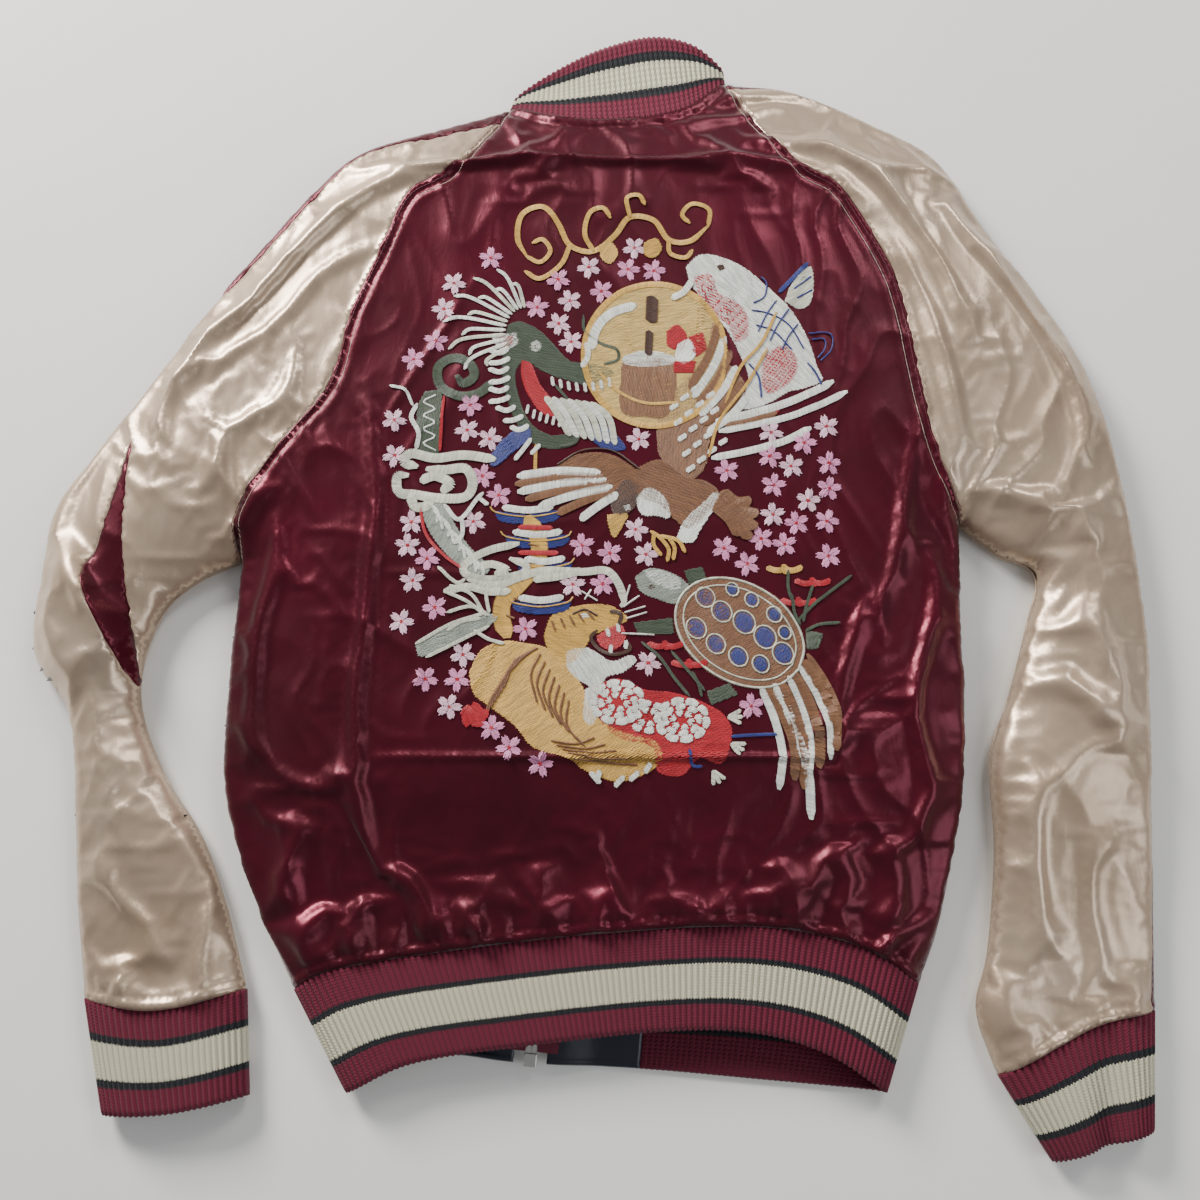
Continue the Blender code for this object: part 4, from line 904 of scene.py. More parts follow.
# %% [markdown]
# ## Knitted ribs
#
# Hem, cuffs and collar are tubes of rib knit: columns of stitches that stand up like corduroy.
# The strip's shape is plain, so it is a grid. The ribs themselves repeat across it, so Geometry
# Nodes lift them: one tree, with the pitch and the depth as inputs, serves all four pieces.
# %% The rib tree
def tree_with(name, *sockets):
    """A new geometry tree with these inputs besides the geometry."""
    tree = bpy.data.node_groups.new(name, "GeometryNodeTree")
    group_socket(tree, "Geometry", "INPUT", "NodeSocketGeometry")
    for label, kind, value in sockets:
        group_socket(tree, label, "INPUT", kind, value)
    group_socket(tree, "Geometry", "OUTPUT", "NodeSocketGeometry")
    n = Nodes(tree)
    return tree, n, n.add("NodeGroupInput"), n.add("NodeGroupOutput")


def ended(n, geometry, source, sink):
    """Every tree ends by making its instances real and giving them the material."""
    real = n.add("GeometryNodeRealizeInstances", {0: geometry})
    done = n.add("GeometryNodeSetMaterial", {"Geometry": real.outputs[0], "Material": source.outputs["Material"]})
    n.tree.links.new(done.outputs[0], sink.inputs[0])


rib_tree, n, source, sink = tree_with(
    "Knit ribs", ("Pitch", "NodeSocketFloat", 3.6), ("Depth", "NodeSocketFloat", 0.0007),
    ("Material", "NodeSocketMaterial", None))
across = n.add("GeometryNodeInputNamedAttribute", {0: "across"}, data_type="FLOAT").outputs[0]
turn = n.math("MULTIPLY", n.math("DIVIDE", across, source.outputs["Pitch"]), 2 * math.pi)
lift = n.math("MULTIPLY", n.math("MULTIPLY", n.math("COSINE", turn), -1.0), source.outputs["Depth"])
normal = n.add("GeometryNodeInputNormal").outputs[0]
offset = n.add("ShaderNodeVectorMath", {0: normal, "Scale": lift}, operation="SCALE").outputs[0]
moved = n.add("GeometryNodeSetPosition", {"Geometry": source.outputs[0], "Offset": offset})
ended(n, moved.outputs[0], source, sink)


# %% Run a tree and keep its mesh
def grown(name, mesh_or_obj, tree, **inputs):
    """A plain mesh object made by running a tree on this one."""
    obj = mesh_or_obj
    change = obj.modifiers.new("nodes", "NODES")
    change.node_group = tree
    keys = {item.name: item.identifier for item in tree.interface.items_tree if item.in_out == "INPUT"}
    for label, value in inputs.items():
        change[keys[label.replace("_", " ")]] = value
    mesh = plain_mesh(obj)
    bpy.data.objects.remove(obj, do_unlink=True)
    made = bpy.data.objects.new(name, mesh)
    bpy.context.scene.collection.objects.link(made)
    return made


def set_attribute(mesh, name, values, kind="FLOAT"):
    layer = mesh.attributes.new(name, kind, "POINT")
    layer.data.foreach_set("vector" if kind == "FLOAT_VECTOR" else "value", np.asarray(values, np.float32).ravel())


# %% Strips between a seam and a loose edge
def strip(seam, end, shares, rows, height, lip=1.6, end_shares=None):
    """Rows of points from the seam to the loose edge, which rolls inwards a little."""
    a, b = along(seam, shares), along(end, shares if end_shares is None else end_shares)
    v = np.linspace(0, 1, rows)[:, None, None]
    grid = a * (1 - v) + b * v
    z = height(grid.reshape(-1, 2)).reshape(rows, len(a), 1)
    long = np.linalg.norm(b - a, axis=1).mean()
    left = np.maximum(1 - (1 - v) * long / 3.0, 0)
    middle = FOLD_HEIGHT - 0.4
    return np.concatenate([grid, z + np.sign(middle - z) * lip * (1 - np.sqrt(np.maximum(1 - left**2, 0)))], axis=2)


def knitted(name, grid, material, node, flip=False, ring=False):
    """A ribbed strip or ring as one piece, with thickness."""
    rows, columns, _ = grid.shape
    if ring:
        grid[:, -1] = grid[:, 0] = (grid[:, 0] + grid[:, -1]) / 2
        grid = grid[:, :-1]
    middle = np.vstack([grid[rows // 2], grid[rows // 2, :1]]) if ring else grid[rows // 2]
    width = walked(middle)
    count = grid.shape[1]
    faces = []
    for r in range(rows - 1):
        for c in range(count if ring else count - 1):
            q = (r * count + c, r * count + (c + 1) % count, (r + 1) * count + (c + 1) % count, (r + 1) * count + c)
            faces.append(q[::-1] if flip else q)
    obj = mesh_object("plain_" + name, grid.reshape(-1, 3) * MM, faces)
    total = width[-1] if ring else 0
    across = width[:count] * ((round(total / 3.6) * 3.6 / total) if ring else 1)
    long = float(np.linalg.norm(np.diff(grid[:, count // 3], axis=0), axis=1).sum())
    down = np.linspace(0, 1, rows)
    set_attribute(obj.data, "across", np.tile(across, rows))
    set_attribute(obj.data, "down", np.repeat(down, count))
    set_attribute(obj.data, "long", np.repeat(down * long, count))
    obj = grown("knitted_" + name, obj, rib_tree, Pitch=3.6, Depth=0.00055, Material=material)
    obj.data.shade_smooth()
    wall = obj.modifiers.new("wall", "SOLIDIFY")
    wall.thickness, wall.offset = 2.0 * MM, -1
    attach(obj, "jacket")
    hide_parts(node)
    return obj


def rib_columns(line):
    """Shares for six columns to each rib."""
    return np.linspace(0, 1, int(walked(line)[-1] / 3.6 * 6) + 1)


def notched(grid, where, deep, half):
    """Pushes a crease into the loose end of a rib."""
    rows = np.linspace(0, 1, grid.shape[0])[:, None]
    off = np.exp(-((grid[..., 0] - where) / half) ** 2)
    grid[..., 2] -= deep * off * rows
    return grid


def joined_sides(over, under):
    """The upper and the lower strip side by side, with their shared columns on the fold."""
    under[:, 0] = over[:, -1] = (over[:, -1] + under[:, 0]) / 2
    return np.concatenate([over, under[:, 1:]], axis=1)


# %% Cuffs
for side, end in (("left", "l"), ("right", "r")):
    seam, loose = SEAM[f"cuff_{end}"], SEAM[f"cuff_end_{end}"]
    shares = rib_columns(seam)
    over = strip(seam, loose, shares, 30, top_height)
    if end == "r":
        over = notched(over, 303, 7.0, 9.0)
    under = strip(seam, loose, shares[::-1], 30, bottom_height)
    knitted(f"cuff_{side}", joined_sides(over, under), CUFF_KNIT, f"cuff_{side}", flip=end == "l", ring=True)

# %% Hem
hem_line, hem_back, hem_front = SEAM["hem"], SEAM["hem_end_back"], SEAM["hem_end_front"]


def hem_share(offset):
    """Where the line at this distance from the zip meets the hem's seam and its loose front edge."""
    foot = ZIP_HEM + ZIP_ACROSS * offset
    return [float(np.interp(x, line[:, 0], walked(line) / walked(line)[-1]))
            for x, line in ((beside_zip(offset)[0][0], hem_line), (foot[0], hem_front))]


def front_hem(first, last, columns):
    return strip(hem_line, hem_front, np.linspace(first[0], last[0], columns), 30, bottom_height,
                 end_shares=np.linspace(first[1], last[1], columns))


left_end, right_end = hem_share(-57.0), hem_share(67.0)
under_left = front_hem(left_end, (0, 0), int(walked(hem_line)[-1] * left_end[0] / 0.6))
under_right = front_hem((1, 1), right_end, int(walked(hem_line)[-1] * (1 - right_end[0]) / 0.6))
over = strip(hem_line, hem_back, rib_columns(hem_line), 30, top_height)
knitted("hem_rib", joined_sides(joined_sides(under_left, over), under_right), HEM_KNIT, "hem_rib", flip=True)

# %% Collar
def front_collar(end, shares):
    return strip(SEAM[f"front_neck_{end}"], SEAM[f"collar_end_{end}"], shares, 24, bottom_height)


count = int(walked(SEAM["front_neck_l"])[-1] / 3.6 * 6)
over = strip(SEAM["back_neck"], SEAM["collar_end_back"], rib_columns(SEAM["back_neck"]), 24, top_height)
neck = joined_sides(joined_sides(front_collar("l", np.linspace(0.97, 0, count)), over),
                    front_collar("r", np.linspace(0, 0.97, count)))
knitted("collar_rib", neck, COLLAR_KNIT, "collar_rib")

# %% Satin ends of the hem, beside the zip
for side, near, far in (("left", hem_share(-10.0), hem_share(-56.0)), ("right", hem_share(10.0), hem_share(66.0))):
    grid = front_hem(near, far, 26)
    rows, columns, _ = grid.shape
    own = [(r * columns + c, r * columns + c + 1, (r + 1) * columns + c + 1, (r + 1) * columns + c)
           for r in range(rows - 1) for c in range(columns - 1)]
    panel(f"hem_tab_{side}", grid.reshape(-1, 3), own, NAVY_SATIN, "navy_satin", 2.0, "folded",
          turned=side == "left", node=f"hem_tab_{side}")

# %% [markdown]
# ## Stitches
#
# Embroidery is one shape, a short bulge of thread, laid down thousands of times. So the stitch is
# modelled once, and Geometry Nodes put a copy on every point of a plan. Each point says which way
# its stitch runs, which way is up, how long and wide it is and how light its thread is.
# %% The stitch tree
stitch_tree, n, source, sink = tree_with(
    "Stitches", ("Thickness", "NodeSocketFloat", 0.6), ("Arch", "NodeSocketFloat", 0.2),
    ("Seed", "NodeSocketInt", 4), ("Material", "NodeSocketMaterial", None))
line = n.add("GeometryNodeCurvePrimitiveLine", {"Start": (-0.0005, 0, 0), "End": (0.0005, 0, 0)})
cut = n.add("GeometryNodeResampleCurve", {"Curve": line.outputs[0], "Count": 3})
at = n.add("ShaderNodeSeparateXYZ", {0: n.add("GeometryNodeInputPosition").outputs[0]}).outputs[0]
low = n.math("MULTIPLY", n.math("ABSOLUTE", at), 2.0)
drop = n.math("MULTIPLY", n.math("MULTIPLY", low, source.outputs["Arch"]), -1.0)
sunk = n.add("ShaderNodeCombineXYZ", {2: drop}).outputs[0]
bent = n.add("GeometryNodeSetPosition", {"Geometry": cut.outputs[0], "Offset": sunk})
ring = n.add("GeometryNodeCurvePrimitiveCircle", {"Resolution": 4, "Radius": 0.0005})
tube = n.add("GeometryNodeCurveToMesh", {"Curve": bent.outputs[0], "Profile Curve": ring.outputs["Curve"],
                                         "Fill Caps": True})
smooth_tube = n.add("GeometryNodeSetShadeSmooth", {"Geometry": tube.outputs[0], "Shade Smooth": True})
way = n.add("GeometryNodeInputNamedAttribute", {0: "way"}, data_type="FLOAT_VECTOR").outputs[0]
up = n.add("GeometryNodeInputNamedAttribute", {0: "up"}, data_type="FLOAT_VECTOR").outputs[0]
turn = n.add("FunctionNodeAxesToRotation", {0: way, 1: up}, primary_axis="X", secondary_axis="Z")
long = n.add("GeometryNodeInputNamedAttribute", {0: "long"}, data_type="FLOAT").outputs[0]
wide = n.add("GeometryNodeInputNamedAttribute", {0: "wide"}, data_type="FLOAT").outputs[0]
odd = n.add("FunctionNodeRandomValue", {"Min": 0.85, "Max": 1.15, "Seed": source.outputs["Seed"]}, data_type="FLOAT")
odd = next(out for out in odd.outputs if out.enabled)
wide = n.math("MULTIPLY", wide, odd)
tall = n.math("MULTIPLY", wide, source.outputs["Thickness"])
size = n.add("ShaderNodeCombineXYZ", {0: long, 1: wide, 2: tall}).outputs[0]
laid = n.add("GeometryNodeInstanceOnPoints", {"Points": source.outputs[0], "Instance": smooth_tube.outputs[0],
                                              "Rotation": turn.outputs[0], "Scale": size})
ended(n, laid.outputs[0], source, sink)


# %% Plans of stitches
def hatched(outline, degrees, pitch=0.72, length=6.0):
    """Rows of stitches that fill a closed outline: middle, direction and length of each."""
    c, s = math.cos(math.radians(degrees)), math.sin(math.radians(degrees))
    flat = smooth(np.vstack([outline, outline[:1]]), 4) if len(outline) > 4 else np.vstack([outline, outline[:1]])
    p = np.column_stack([flat @ (c, s), flat @ (-s, c)])
    rows = []
    a, b = p[:-1], p[1:]
    for k, y in enumerate(np.arange(p[:, 1].min() + pitch / 2, p[:, 1].max(), pitch)):
        hit = (a[:, 1] > y) != (b[:, 1] > y)
        x = np.sort(a[hit, 0] + (y - a[hit, 1]) / (b[hit, 1] - a[hit, 1]) * (b[hit, 0] - a[hit, 0]))
        for x0, x1 in zip(x[::2], x[1::2]):
            if x1 - x0 < 0.5:
                continue
            cuts = np.arange(math.floor(x0 / length) * length + (k * 0.37 % 1) * length, x1, length)
            ends = np.concatenate([[x0], cuts[(cuts > x0 + 1.2) & (cuts < x1 - 1.2)], [x1]])
            rows += [((u + v) / 2 * c - y * s, (u + v) / 2 * s + y * c, c, s, v - u)
                     for u, v in zip(ends[:-1], ends[1:])]
    return np.array(rows).reshape(-1, 5)


def stitched_line(points, width, pitch=0.62):
    """Satin stitches across a smooth line, or running stitches along it when it is thin."""
    path = spaced(smooth(points, 6) if len(points) > 2 else points, pitch if width > 1.5 else 2.4)
    step = np.gradient(path, axis=0)
    step /= np.linalg.norm(step, axis=1)[:, None] + 1e-9
    if width <= 1.5:
        mid, d = (path[:-1] + path[1:]) / 2, path[1:] - path[:-1]
        size = np.linalg.norm(d, axis=1)
        return np.column_stack([mid, d / size[:, None], size * 1.1])
    side = np.column_stack([-step[:, 1], step[:, 0]]) + 0.25 * step
    side /= np.linalg.norm(side, axis=1)[:, None]
    share = np.linspace(0, 1, len(path))
    full = width * np.clip(np.minimum(share, 1 - share) * 9 + 0.45, 0, 1)
    return np.column_stack([path, side, full])


def sewn(name, plan, wide, clear, material, slot, node, ups=None):
    """Stitches on the cloth, as one piece. Plan is middle, direction and length, row by row."""
    place, normal = on_top(plan[:, :2], 0.0)
    place += normal * np.asarray(clear).reshape(-1, 1)
    way = np.column_stack([plan[:, 2:4], np.zeros(len(plan))])
    way -= normal * (way * normal).sum(1)[:, None]
    way /= np.linalg.norm(way, axis=1)[:, None]
    obj = mesh_object("plan_of_" + name, place * MM, [])
    for label, values, kind in (("way", way, "FLOAT_VECTOR"), ("up", normal, "FLOAT_VECTOR"),
                                ("long", plan[:, 4], "FLOAT"), ("wide", np.broadcast_to(wide, len(plan)), "FLOAT"),
                                ("shade", chance.random(len(plan)), "FLOAT")):
        set_attribute(obj.data, label, values, kind)
    obj = grown(name, obj, stitch_tree, Material=material)
    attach(obj, "jacket")
    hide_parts(node)
    return obj


# %% [markdown]
# ## The designs on the back
#
# Each design is a list of filled shapes and lines, drawn on a design sheet. The sheet's unit is
# about a fifth of a millimetre, and its rows draw together slightly towards the hem, as the
# cloth does where it is gathered. The animals and flowers are much simplified.
# %% The design sheet
def upper(*points):
    """Points of the design sheet, in millimetres on the cloth."""
    x, y = np.array(points, float).T
    shrink = 1 + 5.577e-5 * y
    return np.column_stack([(0.20058 * x + 3.346e-4 * y - 134.52) / shrink, (248.86 - 0.206965 * y) / shrink])


def lower(*points):
    """The same for the sheet's lower half."""
    return upper(*[(x, y + 1001) for x, y in points])


MOTIFS = {}

# %% A gold flourish below the collar
MOTIFS["embroidered_scroll"] = [
    ("line", "gold", 3.0, upper((455, 250), (425, 190), (440, 110), (510, 85), (560, 140), (600, 215), (680, 235),
        (750, 180), (800, 120), (880, 130), (930, 195), (1000, 200), (1062, 150))),
    ("line", "gold", 2.4, upper((455, 250), (500, 270), (535, 235), (510, 195), (475, 205))),
    ("line", "gold", 2.4, upper((1062, 150), (1065, 95), (1010, 75), (975, 110), (1000, 140))),
    ("line", "gold", 2.6, upper((600, 215), (570, 280), (500, 325), (450, 300))),
    ("line", "gold", 2.6, upper((680, 235), (650, 180), (665, 110), (710, 90), (735, 125))),
    ("line", "gold", 2.4, upper((930, 195), (935, 240), (985, 255), (1010, 230))),
    ("line", "gold", 2.4, upper((800, 120), (790, 60), (830, 50), (850, 80))),
    ("fill", "gold", 60, upper((700, 215), (735, 205), (760, 240), (735, 275), (705, 255))),
    ("fill", "gold", 20, upper((850, 205), (885, 190), (905, 225), (880, 255), (850, 240))),
]

# %% The moon
MOTIFS["embroidered_moon"] = [
    ("fill", "pale gold", 12, upper(*[(884 + 243 * math.cos(a / 18 * math.pi), 580 + 243 * math.sin(a / 18 *
        math.pi)) for a in range(0, 36, 2)])),
    ("line", "gold", 3.2, upper(*[(884 + 237 * math.cos(a / 18 * math.pi), 580 + 237 * math.sin(a / 18 * math.pi))
        for a in range(0, 37, 2)])),
    ("line", "white", 5.0, upper((670, 560), (690, 490), (740, 440), (820, 415))),
    ("line", "white", 3.0, upper((640, 620), (660, 585), (655, 540))),
    ("line", "gold", 1.6, upper((700, 640), (760, 700), (850, 740), (960, 740))),
    ("fill", "brown", 88, upper((775, 600), (945, 600), (935, 770), (850, 785), (770, 760))),
    ("fill", "white", 0, upper((780, 585), (860, 565), (945, 585), (940, 610), (860, 620), (785, 610))),
    ("line", "dark brown", 4.2, upper((862, 580), (866, 500))),
    ("line", "dark brown", 6.5, upper((872, 470), (876, 385))),
    ("fill", "red", 30, upper((925, 500), (960, 480), (990, 520), (975, 560), (930, 550))),
    ("fill", "red", -20, upper((1000, 520), (1045, 505), (1055, 560), (1020, 590))),
    ("fill", "white", 60, upper((960, 545), (1000, 530), (1020, 580), (985, 610), (955, 590))),
    ("fill", "red", 0, upper((950, 600), (1020, 600), (1010, 640), (950, 640))),
]

# %% The koi
MOTIFS["embroidered_carp"] = [
    ("fill", "white", -48, upper((990, 285), (1040, 245), (1120, 258), (1200, 300), (1280, 370), (1345, 440), (1395,
        530), (1425, 620), (1440, 665), (1380, 690), (1330, 700), (1260, 740), (1190, 760), (1165, 740), (1200, 660),
        (1170, 580), (1140, 520), (1090, 450), (1040, 390), (1005, 340))),
    ("fill", "red", -40, upper((1015, 320), (1070, 310), (1095, 370), (1150, 400), (1190, 440), (1195, 510), (1155,
        535), (1125, 480), (1080, 440), (1035, 390))),
    ("fill", "red", -30, upper((1255, 575), (1320, 550), (1360, 600), (1345, 660), (1290, 700), (1255, 705), (1240,
        640))),
    ("fill", "red", 5, upper((1160, 775), (1220, 765), (1300, 755), (1270, 785), (1190, 800))),
    ("fill", "cream", 35, upper((1320, 400), (1345, 340), (1400, 285), (1412, 350), (1400, 410), (1365, 425))),
    ("line", "blue", 2.4, upper((1300, 370), (1340, 330), (1395, 275))),
    ("line", "blue", 1.2, upper((1350, 360), (1405, 320))),
    ("line", "blue", 1.2, upper((1360, 390), (1408, 365))),
    ("line", "blue", 1.1, upper((1215, 405), (1250, 385), (1258, 340), (1240, 320))),
    ("line", "blue", 1.1, upper((1210, 430), (1260, 440), (1330, 480), (1380, 560))),
    ("line", "blue", 1.1, upper((1225, 480), (1280, 500), (1340, 560))),
    ("line", "blue", 1.1, upper((1290, 400), (1260, 440), (1230, 500))),
    ("line", "blue", 1.1, upper((1330, 430), (1295, 480), (1270, 530))),
    ("line", "blue", 1.1, upper((1360, 480), (1330, 520), (1310, 560))),
    ("line", "blue", 1.3, upper((1395, 610), (1420, 640), (1440, 680))),
    ("line", "blue", 1.3, upper((1240, 720), (1230, 650), (1200, 610))),
    ("line", "blue", 1.0, upper((1400, 510), (1470, 510), (1475, 560), (1440, 600))),
    ("line", "blue", 1.0, upper((1410, 530), (1450, 530), (1450, 565), (1430, 590))),
    ("line", "gold", 1.6, upper((1290, 440), (1240, 540), (1170, 620), (1120, 740))),
    ("line", "gold", 1.6, upper((1260, 560), (1190, 680), (1100, 800), (1065, 920))),
    ("fill", "dark brown", 0, upper((1092, 282), (1110, 278), (1116, 292), (1100, 299))),
    ("line", "white", 3.6, upper((1010, 330), (980, 370), (940, 390))),
]

# %% The hawk
hawk = [
    ("fill", "brown", 70, upper((895, 900), (895, 780), (950, 700), (1010, 640), (1060, 560), (1075, 470), (1110,
        520), (1120, 600), (1160, 640), (1190, 700), (1140, 780), (1070, 860), (1050, 960), (960, 1010))),
]
for i in range(6):
    t = i / 5
    a = (1000 + 60 * t, 690 + 150 * t)
    b = (1100 + 95 * t, 470 + 250 * t)
    hawk.append(("line", "white" if i % 2 else "brown", 4.2, upper(a, ((a[0] + b[0]) / 2 + 14, (a[1] + b[1]) / 2),
            b)))
hawk += [
    ("line", "white", 4.2, upper((1090, 800), (1250, 765), (1400, 710), (1480, 670))),
    ("line", "white", 3.6, upper((1100, 835), (1300, 795), (1430, 750), (1525, 705))),
    ("line", "white", 3.8, upper((1075, 925), (1200, 900), (1310, 870), (1405, 825))),
    ("line", "brown", 3.0, upper((1120, 815), (1200, 800), (1290, 775))),
]
for r in range(5):
    for c in range(4):
        (x, y) = (935 + c * 36 + r * 14, 760 + r * 52 - c * 30)
        hawk.append(("line", "white", 2.6, upper((x, y), (x + 26, y - 16))))
hawk += [
    ("fill", "brown", 20, upper((540, 965), (620, 915), (720, 910), (800, 950), (840, 1000), (790, 1060), (720,
        1060), (640, 1030))),
]
for i in range(7):
    t = i / 6
    tip = (425 - 25 * math.sin(3.14 * t) + 210 * t * t, 985 + 165 * t - 20 * t * t)
    base = (700 + 60 * t, 975 + 70 * t)
    hawk.append(("line", "white" if i % 2 == 0 else "brown", 4.4, upper(base, ((tip[0] + base[0]) / 2, (tip[1] +
            base[1]) / 2 - 12 + 8 * t), tip)))
hawk += [
    ("line", "dark brown", 1.3, upper((560, 945), (640, 900), (740, 900), (830, 960))),
    ("fill", "brown", -35, upper((800, 975), (900, 930), (980, 985), (1060, 1005), (1100, 1050), (1060, 1110),
        (1000, 1160), (950, 1130), (900, 1080), (830, 1050))),
    ("fill", "white", 50, upper((955, 1200), (985, 1130), (1040, 1080), (1085, 1040), (1105, 1075), (1070, 1115),
        (1035, 1165), (1010, 1205))),
    ("fill", "white", 80, upper((820, 1060), (860, 1025), (915, 1055), (935, 1120), (890, 1115), (840, 1110))),
    ("fill", "dark brown", 40, upper((735, 1070), (780, 1000), (830, 1020), (820, 1080), (790, 1110), (750, 1112))),
    ("fill", "gold", 30, upper((725, 1115), (790, 1112), (775, 1150), (750, 1190), (735, 1160))),
    ("fill", "white", 0, upper((780, 1085), (800, 1080), (802, 1096), (786, 1102))),
]
for i, (x, y) in enumerate(((1165, 1185), (1200, 1195), (1222, 1160), (1228, 1115), (1205, 1070))):
    hawk.append(("line", "brown", 6.0, upper((1085 + 6 * i, 1085 - 12 * i), ((1085 + x) / 2 + 10, (1075 + y) / 2),
            (x, y))))
    hawk.append(("line", "dark brown", 0.9, upper((1095 + 8 * i, 1095 - 14 * i), ((1105 + x) / 2 + 10, (1085 + y) /
            2), (x - 6, y - 6))))
for p in (((870, 1170), (900, 1190), (930, 1230), (925, 1270)), ((900, 1185), (960, 1200), (985, 1240)), ((880,
        1180), (880, 1215), (905, 1250)), ((930, 1190), (950, 1225), (945, 1265))):
    hawk.append(("line", "gold", 2.0, upper(*p)))
MOTIFS["embroidered_hawk"] = hawk

# %% The dragon, its clouds and the pine branch
beast = [
    ("fill", "green", -25, upper((395, 480), (440, 470), (500, 500), (545, 545), (600, 600), (680, 610), (735, 625),
        (740, 650), (660, 680), (580, 660), (520, 640), (450, 600), (415, 640), (430, 730), (470, 810), (540, 850),
        (620, 840), (600, 885), (500, 885), (430, 820), (390, 720), (375, 620), (385, 540))),
    ("fill", "red", -40, upper((440, 600), (470, 610), (500, 680), (560, 745), (605, 760), (590, 785), (510, 775),
        (460, 710), (440, 650))),
    ("fill", "white", 30, upper((340, 520), (420, 505), (425, 545), (370, 575))),
    ("fill", "red", 30, upper((350, 525), (412, 515), (410, 540), (375, 560))),
    ("line", "green", 5.0, upper((350, 665), (290, 710), (220, 715), (165, 680), (160, 620), (210, 590), (265, 610),
        (280, 650), (245, 675), (222, 650))),
    ("line", "green", 1.6, upper((645, 450), (650, 500), (700, 540), (755, 560), (760, 595), (715, 610))),
    ("line", "green", 1.6, upper((550, 680), (600, 740), (635, 810), (620, 870), (570, 885))),
    ("fill", "white", 0, upper((470, 540), (490, 532), (502, 550), (490, 568), (472, 562))),
    ("fill", "dark brown", 0, upper((480, 546), (492, 546), (490, 558), (480, 558))),
]
for i in range(13):
    a = math.radians(96 + i * 9.5)
    r1 = 90
    r2 = (175, 235, 180, 255, 200, 270, 205, 280, 215, 265, 205, 240, 170)[i]
    (cx, cy) = (455, 510)
    beast.append(("line", "white" if i % 3 else "cream", 2.0, upper((cx + r1 * math.cos(a) * 0.8, cy - r1 *
            math.sin(a)), (cx + 0.6 * (r1 + r2) * math.cos(a + 0.06), cy - 0.6 * (r1 + r2) * math.sin(a + 0.06)), (cx + r2 *
            math.cos(a + 0.16), cy - r2 * math.sin(a + 0.16)))))
for i in range(9):
    y = 560 + i * 32
    beast.append(("line", "white", 2.8, upper((395 + i % 2 * 4 + max(0, i - 5) * 22, y), (365 + max(0, i - 5) * 22, y +
            14), (330 + max(0, i - 5) * 24, y + 4 + i % 2 * 12))))
for i in range(8):
    t = i / 7
    x = 540 + t * 190
    y = 655 + 20 * math.sin(t * 3)
    beast.append(("line", "white", 1.8, upper((x, y), (x + 4, y + 28))))
for i in range(7):
    t = i / 6
    x = 455 + t * 130
    y = 745 + 50 * t ** 0.6
    beast.append(("line", "white", 1.6, upper((x, y + 30), (x + 6, y + 2))))
for i in range(7):
    t = i / 6
    beast.append(("line", "white" if i % 2 else "cream", 3.4, upper((520 + t * 150, 720 + t * 20), (560 + t * 170, 780
            + 10 * t), (600 + t * 150, 850 + t * 30))))
beast += [
    ("fill", "blue", 50, upper((325, 930), (375, 865), (445, 815), (468, 850), (410, 905), (350, 950))),
    ("fill", "blue", -40, upper((655, 820), (720, 820), (775, 870), (780, 895), (720, 895), (680, 870))),
    ("line", "white", 2.4, upper((470, 860), (440, 900), (415, 930))),
    ("line", "white", 2.2, upper((500, 880), (470, 910))),
]
neck = [(175, 700), (130, 760), (118, 830), (130, 905)]
beast += [
    ("fill", "green", 80, upper((115, 705), (170, 705), (165, 790), (160, 905), (100, 905), (88, 820), (95, 750))),
]
zz = []
for i in range(9):
    zz.append((110 if i % 2 else 150, 715 + i * 23))
beast.append(("line", "white", 1.3, upper(*zz)))
beast += [
    ("line", "red", 1.6, upper((180, 720), (172, 790), (165, 900))),
    ("line", "white", 2.4, upper((90, 745), (70, 790), (95, 840), (85, 895))),
    ("line", "white", 1.6, upper((0, 685), (50, 700), (75, 750))),
]
for p in (((350, 930), (250, 915), (150, 925), (70, 910), (45, 940), (90, 955)), ((60, 985), (25, 990), (30,
        1040), (90, 1050), (170, 1060), (250, 1055), (275, 1010), (250, 960), (180, 965), (120, 960)), ((100, 1000),
        (150, 985), (200, 1010), (170, 1035)), ((70, 1060), (85, 1090), (125, 1085), (130, 1055))):
    beast.append(("line", "cream", 5.0, upper(*p)))
beast += [
    ("fill", "grey green", 60, lower((110, 70), (170, 70), (210, 140), (260, 220), (330, 290), (300, 315), (230,
        280), (160, 210), (115, 130))),
    ("line", "red", 1.6, lower((100, 90), (120, 180), (180, 250), (250, 300))),
]
for i in range(9):
    t = i / 8
    x = 125 + t * 150
    y = 70 + t * 190
    beast.append(("line", "white", 1.6, lower((x, y), (x + 34 - 10 * (i % 2), y + 36), (x + 30, y + 70))))
for p in (((180, 80), (230, 130), (290, 60), (310, 40)), ((240, 130), (240, 180), (215, 210)), ((300, 60), (325,
        80))):
    beast.append(("line", "white", 2.2, lower(*p)))
for p in (((430, 210), (340, 230), (260, 270), (250, 310), (330, 330), (440, 310), (450, 280), (400, 260)),
        ((290, 290), (340, 280), (390, 300), (350, 310)), ((260, 330), (350, 350), (440, 320), (520, 300), (640, 305),
        (720, 300), (760, 340), (780, 400), (770, 420)), ((480, 330), (560, 320), (640, 300)), ((180, 370), (260, 355),
        (330, 370), (400, 370))):
    beast.append(("line", "cream", 4.0, lower(*p)))
beast += [
    ("fill", "grey green", 25, lower((85, 545), (220, 470), (330, 445), (350, 470), (240, 530), (110, 588))),
]
